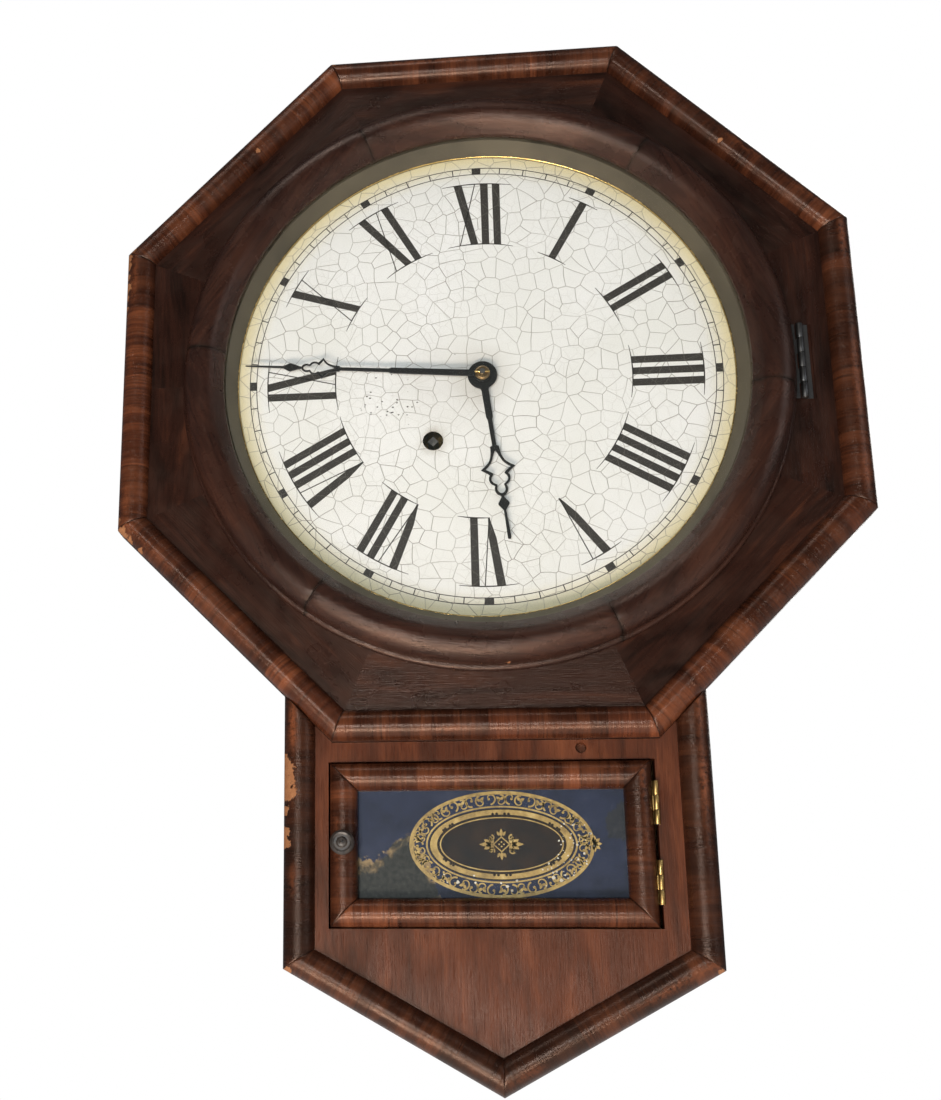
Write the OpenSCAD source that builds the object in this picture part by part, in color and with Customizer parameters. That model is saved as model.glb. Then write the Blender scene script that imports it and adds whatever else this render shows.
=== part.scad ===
// Drop-octagon pendulum wall clock, in millimetres.
// Every sub-part is drawn as seen from the front: x to the right and y up from the
// dial's centre, z out of the wall. hung() then stands it up with +Z up and the front
// towards -Y, and puts the origin at the centre of the hanger's bore, on the wall plane.

/* [Dial] */
// Diameter of the dial plate
dial_d = 304.8; // [260:1:370]
// Thickness of the dial plate
dial_t = 0.8; // [0.5:0.1:1.2]
// Depth of the dial below the front of the octagon board
dial_recess = 3.5; // [2:0.5:5]
// Radius of the hole for the hands
hand_hole_r = 6.5; // [5.5:0.5:9]
// Radius of the winding hole
wind_hole_r = 6; // [4:0.1:7]

/* [Head] */
// Thickness of the octagon board
octagon_t = 14; // [10:1:20]
// Width of panel between the bezel and the mouldings
panel_margin = 20.2; // [12:0.2:40]
// Width of the half-round mouldings
moulding_w = 17.4; // [12:0.2:24]
// Height of the half-round mouldings
moulding_h = 7.5; // [4:0.5:8.5]

/* [Bezel] */
// Width of the bezel ring
bezel_w = 26.2; // [22:0.2:36]
// Height of the bezel's crest
bezel_h = 21; // [18:0.5:26]
// Gap between bezel and panel when it is shut
bezel_gap = 0.3; // [0.2:0.1:1]
// Thickness of the dial glass
glass_t = 2; // [1.5:0.5:3]
// Visible radius of the dial, less than the plate's radius by this much
sight_overlap = 6.2; // [4:0.2:8]

/* [Case] */
// Thickness of the back board
back_t = 10; // [8:1:14]
// Distance from the wall to the front edges of the box
box_front = 82; // [78:1:110]
// Thickness of the box's boards
board_t = 10; // [7:0.5:14]
// Box top above the dial's centre
box_top = 150; // [130:1:165]
// Overhang of the drop's front beyond the box
overhang = 4; // [2:0.5:8]

/* [Drop] */
// Width of the drop
drop_w = 234; // [190:1:290]
// Drop's lowest point below the octagon
drop_len = 187.3; // [160:0.1:230]
// Height of the drop's pointed bottom
point_h = 64.5; // [50:0.5:80]
// Thickness of the drop's front
drop_t = 10; // [8:0.5:13]
// Nail hole right of the drop's centre
nail_x = 47.4; // [30:0.2:60]
// Nail hole's centre below the octagon
nail_gap = 4.6; // [4:0.1:8]
// Radius of the nail hole
nail_r = 3; // [1:0.1:3.5]

/* [Lower door] */
// Width of the door
door_w = 175.8; // [140:0.2:180]
// Height of the door
door_h = 88.9; // [72:0.1:107]
// Door's centre left of the clock's centre
door_shift = 3.4; // [0:0.2:5]
// Door's top below the octagon
door_top_gap = 11.9; // [8:0.1:20]
// Width of the door's rails
rail_w = 15.3; // [12:0.1:20]
// Height of the door's half-round rails
rail_h = 6.5; // [4:0.5:7.5]
// Gap round the door
door_gap = 0.8; // [0.6:0.1:1.5]
// Gap at the door's hinges
door_hinge_gap = 2.2; // [2.2:0.1:3]
// Thickness of the tablet glass
tablet_t = 2; // [1.5:0.5:3]
// Radius of the door's knob
knob_r = 6.7; // [5:0.1:9]

/* [Hanger] */
// Hanger bore above the dial's centre
hanger_rise = 126; // [110:1:140]
// Radius of the hanger's bore
hanger_bore_r = 5; // [3.5:0.5:6]
// Thickness of the hanger's plate
hanger_t = 3; // [2:0.5:4]

/* [Movement] */
// Front of the movement's front plate, behind the dial's face
plate_setback = 21.3; // [20.5:0.1:24]
// Thickness of the movement's plates
plate_t = 1.6; // [1.2:0.2:2]
// Distance between the plates
plate_space = 30; // [30:0.5:34]
// Winding arbor left of the centre arbor
wind_x = 30; // [28:0.5:33]
// Winding arbor below the centre arbor
wind_drop = 39; // [37:0.5:42]
// Radial running clearance of every arbor
run = 0.05; // [0.03:0.01:0.08]

/* [Pendulum] */
// Pendulum length from its pivot to the bob's centre
pendulum_l = 321; // [300:1:335]
// Radius of the bob
bob_r = 24; // [18:1:28]
// Thickness of the bob
bob_t = 12; // [8:1:14]

/* [Hands] */
// Minute hand's length
minute_l = 142; // [110:1:143]
// Hour hand's length
hour_l = 107; // [80:1:115]
// Time shown, hour
shown_hour = 5; // [0:1:11]
// Time shown, minute
shown_minute = 45.75; // [0:0.25:59.75]

/* [Hidden] */
$fn = 64;
joint_gap = 0.15;      // glue line between two wooden pieces
fit = 0.3;             // slack round a loose piece
eps = 0.01;

// Head
dial_r = dial_d / 2;
sight_r = dial_r - sight_overlap;
bezel_ir = dial_r + 0.8;
bezel_or = bezel_ir + bezel_w;
inner_af = bezel_or + panel_margin;
outer_af = inner_af + moulding_w;
panel_z = box_front + octagon_t;
dial_z = panel_z - dial_recess;
dial_back = dial_z - dial_t;
rebate_r = dial_r + fit;

// Drop
drop_hw = drop_w / 2;
box_hw = drop_hw - overhang;
box_in = box_hw - board_t;
drop_tip = outer_af + drop_len;
drop_corner = drop_tip - point_h;
point_a = atan(point_h / drop_hw);
drop_z = box_front + drop_t;
opening_r = box_in - 3;

// Bezel, in heights above the bezel's foot
bezel_z = panel_z + bezel_gap;
seat_r = bezel_ir + 5.3;
lip_h = 9;
lip_top = 12.2;
roll_r = 11;
bezel_glass_r = seat_r - fit;
flange_t = 0.6;
bezel_pin_r = 0.9;
bezel_knuckle_r = 2;
bezel_axis_x = bezel_or + 3.6;
bezel_axis_z = panel_z + bezel_knuckle_r + 0.1;
bezel_hinge_l = 46;
case_leaf_w = 5;
leaf_t = 1;
catch_r = 1.6;
catch_x = -(bezel_ir + bezel_or) / 2;

// Lower door
door_x0 = -door_w / 2 - door_shift;
door_x1 = door_w / 2 - door_shift;
door_y1 = -outer_af - door_top_gap;
door_y0 = door_y1 - door_h;
door_back = drop_z - 8;
tablet_front = drop_z - 2;
tablet_back = tablet_front - tablet_t;
tablet_seat = 4;
strip_w = 3.5;
strip_t = 3;
door_pin_r = 0.7;
door_knuckle_r = 1.5;
door_axis_x = door_x1 + 1.7;
door_axis_z = drop_z + door_knuckle_r + 0.15;
door_leaf_t = 0.7;
door_hinge_l = 23.5;
door_hinge_inset = 11.5;
knob_x = door_x0 + rail_w / 2;
knob_y = (door_y0 + door_y1) / 2;
knob_shaft_r = 2;
latch_l = 17.5;
latch_w = 6;
latch_t = 1.6;
latch_z = box_front - fit - latch_t;

// Hanger
hanger_w = 44;
hanger_h = 50;
slot_w = 4.4;
slot_rise = 14;
screw_r = 1.6;
screw_head_r = 3.2;
screw_head_t = 1.4;
hanger_screw_x = 15;
hanger_screw_y = hanger_rise - 15;

// Movement, in distances from the wall
front_plate_z = dial_z - plate_setback - plate_t;
back_plate_z = front_plate_z - plate_space - plate_t;
rod_z = back_plate_z - 14;
plate_hw = 46;
plate_top = 78;
plate_bottom = -90;
ear_hw = 57;
pillar_x = 38;
pillar_y = [72, -82];
ear_x = 50;
ear_y = [62, -72];
block_w = 12;
pivot_r = 0.8;
pin_share = 0.32;      // pinion pin's diameter over the tooth pitch
wheel_t = 1.5;

// Tooth counts and modules of the going train and the motion work
great_n = 72;
second_pn = 12;
great_m = 0.9;
second_n = 48;
centre_pn = 12;
second_m = 1.05;
centre_n = 66;
third_pn = 6;
centre_m = 0.85;
third_n = 48;
escape_pn = 6;
third_m = 0.7;
escape_n = 36;
escape_r = 14;
cannon_n = 12;
minute_n = 36;
cannon_m = 0.75;
minute_pn = 10;
hour_n = 40;
hour_m = 0.72;

// Arbor places from the centre arbor
function mesh(n, p, m) = m * (n + p) / 2;
function meet(a, ra, b, rb, side) =
    let (d = norm(b - a), u = (b - a) / d, k = (ra * ra - rb * rb + d * d) / (2 * d))
    a + k * u + side * sqrt(ra * ra - k * k) * [-u[1], u[0]];
great_at = [-wind_x, -wind_drop];
centre_at = [0, 0];
second_at = meet(great_at, mesh(great_n, second_pn, great_m),
    centre_at, mesh(second_n, centre_pn, second_m), -1);
third_at = mesh(centre_n, third_pn, centre_m) * [0.477, 0.879] / norm([0.477, 0.879]);
escape_at = meet(centre_at,
    third_at[1] + sqrt(pow(mesh(third_n, escape_pn, third_m), 2) - pow(third_at[0], 2)),
    third_at, mesh(third_n, escape_pn, third_m), 1);
verge_at = [0, escape_at[1] + 20.6];
minute_at = mesh(minute_n, cannon_n, cannon_m) * [cos(-45), sin(-45)];

// Hands and time
minute_a = -6 * shown_minute;
hour_a = -30 * (shown_hour + shown_minute / 60);
arbor_r = 1.6;
cannon_or = 2.6;
hour_or = 3.9;
hour_hand_z = dial_z + 2.9;
minute_hand_z = dial_z + 5.5;
hand_t = 1;
arbor_end = dial_z + 10.1;

// Shared shapes

module hung() {
    translate([0, 0, -hanger_rise]) rotate([90, 0, 0]) children();
}

module at(p, z) {
    translate([p[0], p[1], z]) children();
}

module octagon(apothem) {
    rotate(22.5) circle(r = apothem / cos(22.5), $fn = 8);
}

module bar(x0, x1, y0, y1, z0, z1) {
    translate([x0, y0, z0]) cube([x1 - x0, y1 - y0, z1 - z0]);
}

module mirrored() {
    children();
    mirror([1, 0, 0]) children();
}

// A shaft along y from y0 to y1
module upright(x, z, y0, y1, r) {
    translate([x, y0, z]) rotate([-90, 0, 0]) cylinder(r = r, h = y1 - y0);
}

// Half-round moulding profile: x across, y up, seated on y = 0
module half_round(w, h) {
    radius = (w * w / 4 + h * h) / (2 * h);
    intersection() {
        translate([0, h - radius]) circle(r = radius);
        translate([-w / 2, 0]) square([w, h + eps]);
    }
}

// Straight half-round bar along x, centred, with its outer edge on y = 0
module half_round_bar(l, w, h) {
    translate([-l / 2, -w / 2, 0]) rotate([90, 0, 90]) linear_extrude(l) half_round(w, h);
}

// Height of the drop's pointed outline, moved inwards by inset
function point_line(x, inset) = -drop_tip + inset / cos(point_a) + abs(x) * tan(point_a);

function pol(r, a) = [r * cos(a), r * sin(a)];

// Toothed outline. Half widths are shares of the pitch at root, pitch circle and tip
function teeth(n, m, add, ded, w) = [
    for (i = [0 : n - 1])
        for (q = [[-ded, -w[0]], [0, -w[1]], [add, -w[2]], [add, w[2]], [0, w[1]], [-ded, w[0]]])
            pol(m * (n / 2 + q[0]), 360 / n * (i + q[1]))];

wheel_add = 0.85;
wheel_widths = [0.24, 0.19, 0.08];
leaf_widths = [0.24, 0.17, 0.07];

// Spoked wheel whose tooth gap faces the angle a
module wheel(n, m, a, t, hub_r, arms) {
    rim_r = m * n / 2 - 3.4;
    linear_extrude(t) difference() {
        rotate(a + 180 / n) polygon(teeth(n, m, wheel_add, 1, wheel_widths));
        difference() {
            circle(r = rim_r);
            circle(r = hub_r);
            for (i = [0 : arms - 1])
                rotate(360 / arms * i + a) translate([0, -1.1]) square([rim_r + 1, 2.2]);
        }
    }
}

// Lantern pinion with a pin facing the angle a
module lantern(n, m, a, l) {
    ring_r = m * n / 2;
    pin_r = pin_share * PI * m / 2;
    shroud_t = 1;
    for (z = [0, l - shroud_t])
        translate([0, 0, z]) cylinder(r = ring_r + pin_r + 0.5, h = shroud_t);
    for (i = [0 : n - 1])
        rotate(a + 360 / n * i) translate([ring_r, 0, shroud_t - eps])
            cylinder(r = pin_r, h = l - 2 * shroud_t + 2 * eps, $fn = 16);
}

function bearing(a, b) = atan2(b[1] - a[1], b[0] - a[0]);

// Arbor between the plates with a pivot at each end
module pivoted(r) {
    shoulder = 0.3;
    translate([0, 0, back_plate_z + plate_t + shoulder])
        cylinder(r = r, h = plate_space - 2 * shoulder);
    translate([0, 0, back_plate_z + 0.1])
        cylinder(r = pivot_r, h = plate_space + 2 * plate_t - 0.2);
}

// Case

module box_outline() {
    polygon([[-box_hw, box_top], [box_hw, box_top], [box_hw, point_line(box_hw, overhang)],
        [0, point_line(0, overhang)], [-box_hw, point_line(box_hw, overhang)]]);
}

module back_board() {
    color([0.45, 0.3, 0.18])
    difference() {
        linear_extrude(back_t) box_outline();
        bar(-hanger_w / 2 - fit, hanger_w / 2 + fit, hanger_rise - hanger_h / 2 - fit,
            hanger_rise + hanger_h / 2 - 4 + fit, -1, hanger_t);
        bar(-7.5, 7.5, hanger_rise - 8, hanger_rise + slot_rise + 4, 0, back_t - 2);
        for (x = [-hanger_screw_x, hanger_screw_x])
            at([x, hanger_screw_y], 0) cylinder(r = screw_r, h = back_t - 1);
    }
}

module case_side() {
    translate([0, 0, back_t]) linear_extrude(box_front - back_t)
        polygon([[box_in, box_top], [box_hw, box_top], [box_hw, point_line(box_hw, overhang)],
            [box_in, point_line(box_in, overhang + board_t)]]);
}

module case_side_left() {
    color([0.28, 0.13, 0.08]) mirror([1, 0, 0]) case_side();
}

module case_side_right() {
    color([0.28, 0.13, 0.08]) case_side();
}

module case_top() {
    color([0.28, 0.13, 0.08])
    bar(-box_in, box_in, box_top - board_t, box_top, back_t, box_front);
}

module case_bottom_boards() {
    color([0.28, 0.13, 0.08])
    mirrored() translate([0, 0, back_t]) linear_extrude(box_front - back_t)
        polygon([[joint_gap / 2, point_line(joint_gap / 2, overhang + board_t)],
            [joint_gap / 2, point_line(joint_gap / 2, overhang)],
            [box_hw, point_line(box_hw, overhang)],
            [box_in, point_line(box_in, overhang + board_t)]]);
}

module octagon_panel() {
    leaf_w = 6.8;
    color([0.24, 0.13, 0.1])
    difference() {
        translate([0, 0, box_front]) linear_extrude(octagon_t) octagon(outer_af);
        cylinder(r = opening_r, h = panel_z + 1);
        translate([0, 0, dial_back]) cylinder(r = rebate_r, h = panel_z);
        at([catch_x, 0], box_front + 3) cylinder(r = catch_r + 0.8, h = octagon_t);
        bar(bezel_axis_x, bezel_axis_x + leaf_w, -bezel_hinge_l / 2 - 0.1, bezel_hinge_l / 2 + 0.1,
            panel_z - leaf_t, panel_z + 1);
        for (i = [0 : 5])
            rotate(30 + 60 * i) translate([dial_r - 3.4, 0, box_front + 2]) cylinder(r = 0.8, h = octagon_t);
    }
}

module octagon_mouldings() {
    side = 2 * outer_af * tan(22.5);
    color([0.38, 0.18, 0.1])
    for (i = [0 : 7])
        rotate(45 * i) translate([0, 0, panel_z]) intersection() {
            translate([0, outer_af, 0]) half_round_bar(side, moulding_w, moulding_h);
            linear_extrude(moulding_h + 1)
                polygon([[0, joint_gap / 2 / sin(22.5)],
                    [outer_af * tan(22.5) - joint_gap / 2 + 1, outer_af + 1 / tan(22.5)],
                    [-outer_af * tan(22.5) + joint_gap / 2 - 1, outer_af + 1 / tan(22.5)]]);
        }
}

module drop_outline() {
    polygon([[-drop_hw, 0], [drop_hw, 0], [drop_hw, -drop_corner], [0, -drop_tip], [-drop_hw, -drop_corner]]);
}

module drop_panel() {
    color([0.3, 0.14, 0.09])
    difference() {
        translate([0, 0, box_front]) linear_extrude(drop_t) difference() {
            drop_outline();
            octagon(outer_af + joint_gap);
            translate([door_x0 - door_gap, door_y0 - door_gap])
                square([door_w + door_gap + door_hinge_gap, door_h + 2 * door_gap]);
        }
        for (y = [door_y0 + door_hinge_inset, door_y1 - door_hinge_inset - door_hinge_l])
            bar(door_x1 + door_hinge_gap - eps, door_x1 + door_hinge_gap + 1, y - 0.1, y + door_hinge_l + 0.1,
                door_back, drop_z + 1);
        at([nail_x, -outer_af - nail_gap], drop_z - 6) cylinder(r = nail_r, h = 10);
    }
}

module drop_mouldings() {
    side_l = drop_corner;
    slope_l = norm([drop_hw, point_h]);
    color([0.38, 0.18, 0.1])
    difference() {
        mirrored() translate([0, 0, drop_z]) {
            intersection() {
                translate([drop_hw, -side_l / 2, 0]) rotate(-90)
                    half_round_bar(side_l + 40, moulding_w, moulding_h);
                linear_extrude(moulding_h + 1)
                    polygon([[drop_hw + 1, 0], [drop_hw - 30, 0],
                        [drop_hw - 30, corner_mitre(-30) + joint_gap],
                        [drop_hw + 1, corner_mitre(1) + joint_gap]]);
            }
            intersection() {
                translate([drop_hw / 2, -drop_tip + point_h / 2, 0]) rotate(point_a + 180)
                    half_round_bar(slope_l + 60, moulding_w, moulding_h);
                linear_extrude(moulding_h + 1)
                    polygon([[joint_gap / 2, -drop_tip - 1], [joint_gap / 2, -drop_tip + 40],
                        [drop_hw - 30, corner_mitre(-30) - joint_gap],
                        [drop_hw + 1, corner_mitre(1) - joint_gap]]);
            }
        }
        linear_extrude(panel_z + 20) octagon(outer_af + joint_gap);
    }
}

// Mitre line at the drop's lower corner, dx from the outer edge
function corner_mitre(dx) = -drop_corner + dx * tan(point_a - (90 + point_a) / 2);

module corner_blocks() {
    block = 14;
    color([0.55, 0.42, 0.27])
    mirrored() for (y = [box_top - board_t - 60, -60, -160])
        bar(box_in - block, box_in, y, y + 48, box_front - block, box_front);
}

module hanger_plate() {
    color([0.5, 0.42, 0.25])
    difference() {
        bar(-hanger_w / 2, hanger_w / 2, hanger_rise - hanger_h / 2, hanger_rise + hanger_h / 2 - 4,
            0, hanger_t);
        at([0, hanger_rise], -1) cylinder(r = hanger_bore_r, h = hanger_t + 2);
        bar(-slot_w / 2, slot_w / 2, hanger_rise, hanger_rise + slot_rise, -1, hanger_t + 1);
        for (x = [-hanger_screw_x, hanger_screw_x]) at([x, hanger_screw_y], -1) {
            cylinder(r = screw_r + run, h = hanger_t + 2);
            cylinder(r = screw_head_r + run, h = 1 + screw_head_t);
        }
    }
}

// Wood screw with its head's top at z = 0, driven towards -z
module screw(head_r, head_t, shank_r, l) {
    translate([0, 0, -head_t]) difference() {
        cylinder(r = head_r, h = head_t);
        bar(-head_r, head_r, -0.3, 0.3, head_t / 2, head_t + 1);
    }
    translate([0, 0, -l]) cylinder(r = shank_r, h = l - head_t + eps);
}

module case_screws() {
    color([0.4, 0.38, 0.33]) {
        for (x = [-hanger_screw_x, hanger_screw_x])
            at([x, hanger_screw_y], 0) rotate([180, 0, 0])
                screw(screw_head_r, screw_head_t, screw_r, back_t - 1);
        for (i = [0 : 5])
            rotate(30 + 60 * i) translate([dial_r - 3.4, 0, dial_z + 0.8]) screw(1.3, 0.8, 0.8, 9);
        mirrored() for (y = ear_y)
            at([ear_x, y], back_plate_z + plate_t + 1.8) screw(3.4, 1.8, 1.5, 18);
    }
}

// Dial

module dial_plate() {
    color([0.9, 0.89, 0.84])
    translate([0, 0, dial_back]) difference() {
        cylinder(r = dial_r, h = dial_t, $fn = 128);
        translate([0, 0, -1]) cylinder(r = hand_hole_r, h = dial_t + 2);
        at(great_at, -1) cylinder(r = wind_hole_r, h = dial_t + 2);
        for (i = [0 : 5])
            rotate(30 + 60 * i) translate([dial_r - 3.4, 0, -1]) cylinder(r = 0.8, h = dial_t + 2);
    }
}

// Bezel

module bezel_profile() {
    roll_x = seat_r + 7.9;
    foot_h = 4.5;
    difference() {
        union() {
            translate([roll_x, bezel_h - roll_r]) circle(r = roll_r);
            translate([bezel_or - foot_h / 2, foot_h / 2]) circle(r = foot_h / 2);
            translate([seat_r, 0]) square([bezel_w - 5.3 - foot_h / 2, foot_h]);
            translate([seat_r, 0]) square([roll_x + roll_r - 1.4 - seat_r, bezel_h - roll_r]);
            polygon([[bezel_ir, lip_h], [bezel_ir, lip_top], [roll_x - 8.2, bezel_h - roll_r + 7],
                [roll_x, bezel_h - roll_r], [roll_x, lip_h]]);
        }
        square([seat_r, lip_h]);
        translate([0, -50]) square([bezel_or + 1, 50]);
    }
}

module bezel_segments() {
    slit = 2 * asin(joint_gap / 2 / bezel_or);
    color([0.2, 0.11, 0.08])
    translate([0, 0, bezel_z]) difference() {
        for (i = [0 : 5]) rotate(-6 + 60 * i + slit / 2) rotate_extrude(angle = 60 - slit) bezel_profile();
        bar(bezel_or - 12.6, bezel_or + 2, -bezel_hinge_l / 2 - fit, bezel_hinge_l / 2 + fit,
            -1, leaf_t + 0.1);
        at([catch_x, 0], -1) cylinder(r = catch_r, h = 6);
    }
}

module bezel_glass() {
    color([0.8, 0.85, 0.85, 0.3])
    translate([0, 0, bezel_z + lip_h - glass_t]) cylinder(r = bezel_glass_r, h = glass_t, $fn = 128);
}

module sight_ring() {
    top = lip_h - glass_t;
    low = -dial_recess - bezel_gap + 0.7;
    color([0.4, 0.38, 0.3])
    translate([0, 0, bezel_z]) rotate_extrude()
        polygon([[bezel_ir - flange_t, top], [bezel_glass_r, top], [bezel_glass_r, top - flange_t],
            [bezel_ir, top - flange_t], [sight_r + flange_t, low], [sight_r, low]]);
}

// Knuckles of a hinge along y, drawn about the pin: mine are the even or the odd ones
module knuckles(count, l, r, bore_r, first) {
    share = l / count;
    slack = 0.12;
    for (i = [first : 2 : count - 1])
        difference() {
            upright(0, 0, i * share + slack, (i + 1) * share - slack, r);
            upright(0, 0, i * share - 1, (i + 1) * share + 1, bore_r);
        }
}

// Webs that join the knuckles to their leaf
module webs(count, l, x0, x1, z0, z1, bore_r, first) {
    share = l / count;
    slack = 0.12;
    for (i = [first : 2 : count - 1])
        difference() {
            bar(x0, x1, i * share + slack, (i + 1) * share - slack, z0, z1);
            upright(0, 0, i * share - 1, (i + 1) * share + 1, bore_r);
        }
}

module bezel_hinge_case_leaf() {
    drop = bezel_axis_z - panel_z;
    color([0.6, 0.55, 0.45])
    translate([bezel_axis_x, -bezel_hinge_l / 2, bezel_axis_z]) {
        knuckles(5, bezel_hinge_l, bezel_knuckle_r, bezel_pin_r, 0);
        webs(5, bezel_hinge_l, 0.2, bezel_knuckle_r, -drop - leaf_t, 0, bezel_pin_r, 0);
        bar(0.2, case_leaf_w, 0, bezel_hinge_l, -drop - leaf_t, -drop);
    }
}

module bezel_hinge_leaf() {
    foot = bezel_z - bezel_axis_z;
    color([0.6, 0.55, 0.45])
    translate([bezel_axis_x, -bezel_hinge_l / 2, bezel_axis_z]) {
        knuckles(5, bezel_hinge_l, bezel_knuckle_r, bezel_pin_r + run, 1);
        webs(5, bezel_hinge_l, -bezel_knuckle_r - 3, 0, foot, foot + leaf_t, bezel_pin_r + run, 1);
        bar(-15.8, -bezel_knuckle_r - 0.4, 0, bezel_hinge_l, foot, foot + leaf_t);
    }
}

module hinge_pins() {
    color([0.55, 0.48, 0.32]) {
        upright(bezel_axis_x, bezel_axis_z, -bezel_hinge_l / 2, bezel_hinge_l / 2, bezel_pin_r);
        for (y = door_hinge_y) upright(door_axis_x, door_axis_z, y, y + door_hinge_l, door_pin_r);
    }
}

module bezel_catch() {
    color([0.7, 0.55, 0.28])
    at([catch_x, 0], 0) {
        translate([0, 0, bezel_z - 6]) cylinder(r = catch_r, h = 11);
        translate([0, 0, bezel_z - 6]) sphere(r = catch_r);
    }
}

// Lower door

door_hinge_y = [door_y0 + door_hinge_inset, door_y1 - door_hinge_inset - door_hinge_l];

// Frame bar along x with its outer edge on y = 0 and the glass rebate at its back
module door_bar(l) {
    translate([-l / 2, -rail_w / 2, 0]) rotate([90, 0, 90]) linear_extrude(l) {
        half_round(rail_w, rail_h);
        translate([-rail_w / 2, tablet_front - drop_z]) square([rail_w, drop_z - tablet_front + eps]);
        translate([-rail_w / 2 + tablet_seat, door_back - drop_z])
            square([rail_w - tablet_seat, drop_z - door_back + eps]);
    }
}

module door_rails() {
    mid = [(door_x0 + door_x1) / 2, (door_y0 + door_y1) / 2];
    reach = rail_w + 1;
    color([0.33, 0.15, 0.09])
    difference() {
        at(mid, drop_z) for (i = [0 : 3]) {
            half = i % 2 == 0 ? door_h / 2 : door_w / 2;
            l = i % 2 == 0 ? door_w : door_h;
            rotate(90 * i) intersection() {
                translate([0, half, 0]) door_bar(l);
                translate([0, half, -20]) linear_extrude(40)
                    polygon([[-l / 2 + joint_gap, 0], [l / 2 - joint_gap, 0],
                        [l / 2 - joint_gap - reach, -reach], [-l / 2 + joint_gap + reach, -reach]]);
            }
        }
        for (y = door_hinge_y)
            bar(door_x1 - door_leaf_t, door_x1 + 1, y - 0.1, y + door_hinge_l + 0.1,
                door_back - 1, drop_z + 2.4);
        at([knob_x, knob_y], 0) cylinder(r = knob_shaft_r + run, h = drop_z + 20);
    }
}

module tablet_glass() {
    inset = rail_w - tablet_seat + fit;
    color([0.2, 0.25, 0.42, 0.9])
    bar(door_x0 + inset, door_x1 - inset, door_y0 + inset, door_y1 - inset, tablet_back, tablet_front);
}

module tablet_strips() {
    o = rail_w - tablet_seat + fit;
    color([0.5, 0.36, 0.22]) {
        for (y = [door_y0 + o, door_y1 - o - strip_w])
            bar(door_x0 + o, door_x1 - o, y, y + strip_w, tablet_back - strip_t, tablet_back);
        for (x = [door_x0 + o, door_x1 - o - strip_w])
            bar(x, x + strip_w, door_y0 + o + strip_w + joint_gap, door_y1 - o - strip_w - joint_gap,
                tablet_back - strip_t, tablet_back);
    }
}

module door_hinge_case_leaves() {
    wall = door_x1 + door_hinge_gap - door_axis_x;
    color([0.75, 0.6, 0.32])
    for (y = door_hinge_y) translate([door_axis_x, y, door_axis_z]) {
        knuckles(3, door_hinge_l, door_knuckle_r, door_pin_r, 0);
        webs(3, door_hinge_l, wall - door_leaf_t + 0.9, wall + 1, drop_z - door_axis_z - eps, 0,
            door_pin_r, 0);
        bar(wall + 0.2, wall + 0.9, 0, door_hinge_l, door_back - door_axis_z, drop_z - door_axis_z);
    }
}

module door_hinge_leaves() {
    edge = door_x1 - door_axis_x;
    color([0.75, 0.6, 0.32])
    for (y = door_hinge_y) translate([door_axis_x, y, door_axis_z]) {
        knuckles(3, door_hinge_l, door_knuckle_r, door_pin_r + run, 1);
        webs(3, door_hinge_l, edge - door_leaf_t, 0, -door_knuckle_r, -door_knuckle_r + 0.7,
            door_pin_r + run, 1);
        bar(edge - door_leaf_t, edge, 0, door_hinge_l, door_back - door_axis_z, drop_z - door_axis_z + 0.6);
    }
}

module door_knob() {
    crest = drop_z + rail_h;
    back = latch_z - 0.2;
    color([0.16, 0.1, 0.08])
    at([knob_x, knob_y], 0) {
        translate([0, 0, crest + 0.3]) rotate_extrude()
            polygon([[0, 0], [knob_r - 2.2, 0], [knob_r - 2.2, 2], [knob_r, 3.4], [knob_r, 5.2],
                [knob_r - 1.4, 6.6], [knob_r - 2.4, 6.1], [knob_r - 3.6, 6.1], [knob_r - 4.4, 7.1],
                [1.4, 7.3], [0, 8.2]]);
        translate([0, 0, back]) cylinder(r = knob_shaft_r, h = crest + 1 - back);
    }
}

module door_latch() {
    boss_h = door_back - fit - latch_z;
    color([0.6, 0.5, 0.3])
    at([knob_x, knob_y], latch_z) difference() {
        union() {
            cylinder(r = latch_w / 2 + 0.6, h = boss_h);
            bar(-latch_w / 2, latch_w / 2, -latch_l, 0, 0, latch_t);
        }
        translate([0, 0, -1]) cylinder(r = knob_shaft_r, h = boss_h + 2);
    }
}

// Movement frame

module movement_blocks() {
    color([0.5, 0.36, 0.22])
    difference() {
        mirrored()
            bar(ear_x - block_w / 2, ear_x + block_w / 2, plate_bottom + 6, plate_top - 4,
                back_t, back_plate_z);
        mirrored() for (y = ear_y) at([ear_x, y], back_plate_z - 17) cylinder(r = 1.5, h = 20);
    }
}

module plate_corners(hw) {
    difference() {
        translate([-hw, plate_bottom]) square([2 * hw, plate_top - plate_bottom]);
        mirrored() for (y = [plate_bottom, plate_top]) translate([hw, y]) circle(r = 5);
    }
}

module back_plate() {
    color([0.72, 0.56, 0.27])
    difference() {
        translate([0, 0, back_plate_z]) linear_extrude(plate_t) union() {
            plate_corners(plate_hw);
            for (y = ear_y) translate([-ear_hw, y - 6]) square([2 * ear_hw, 12]);
        }
        for (p = [great_at, centre_at, second_at, third_at, escape_at])
            at(p, back_plate_z - 1) cylinder(r = pivot_r + run, h = plate_t + 2);
        at(verge_at, back_plate_z - 1) cylinder(r = 2.2, h = plate_t + 2);
        mirrored() for (y = ear_y) at([ear_x, y], back_plate_z - 1) cylinder(r = 1.5 + run, h = plate_t + 2);
        mirrored() for (y = pillar_y) at([pillar_x, y], back_plate_z - 1) cylinder(r = 1.8, h = plate_t + 2);
        at([24, 52], back_plate_z - 1) cylinder(r = 9, h = plate_t + 2);
        at([-26, 20], back_plate_z - 1) cylinder(r = 13, h = plate_t + 2);
        at([26, -64], back_plate_z - 1) cylinder(r = 11, h = plate_t + 2);
    }
}

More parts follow.
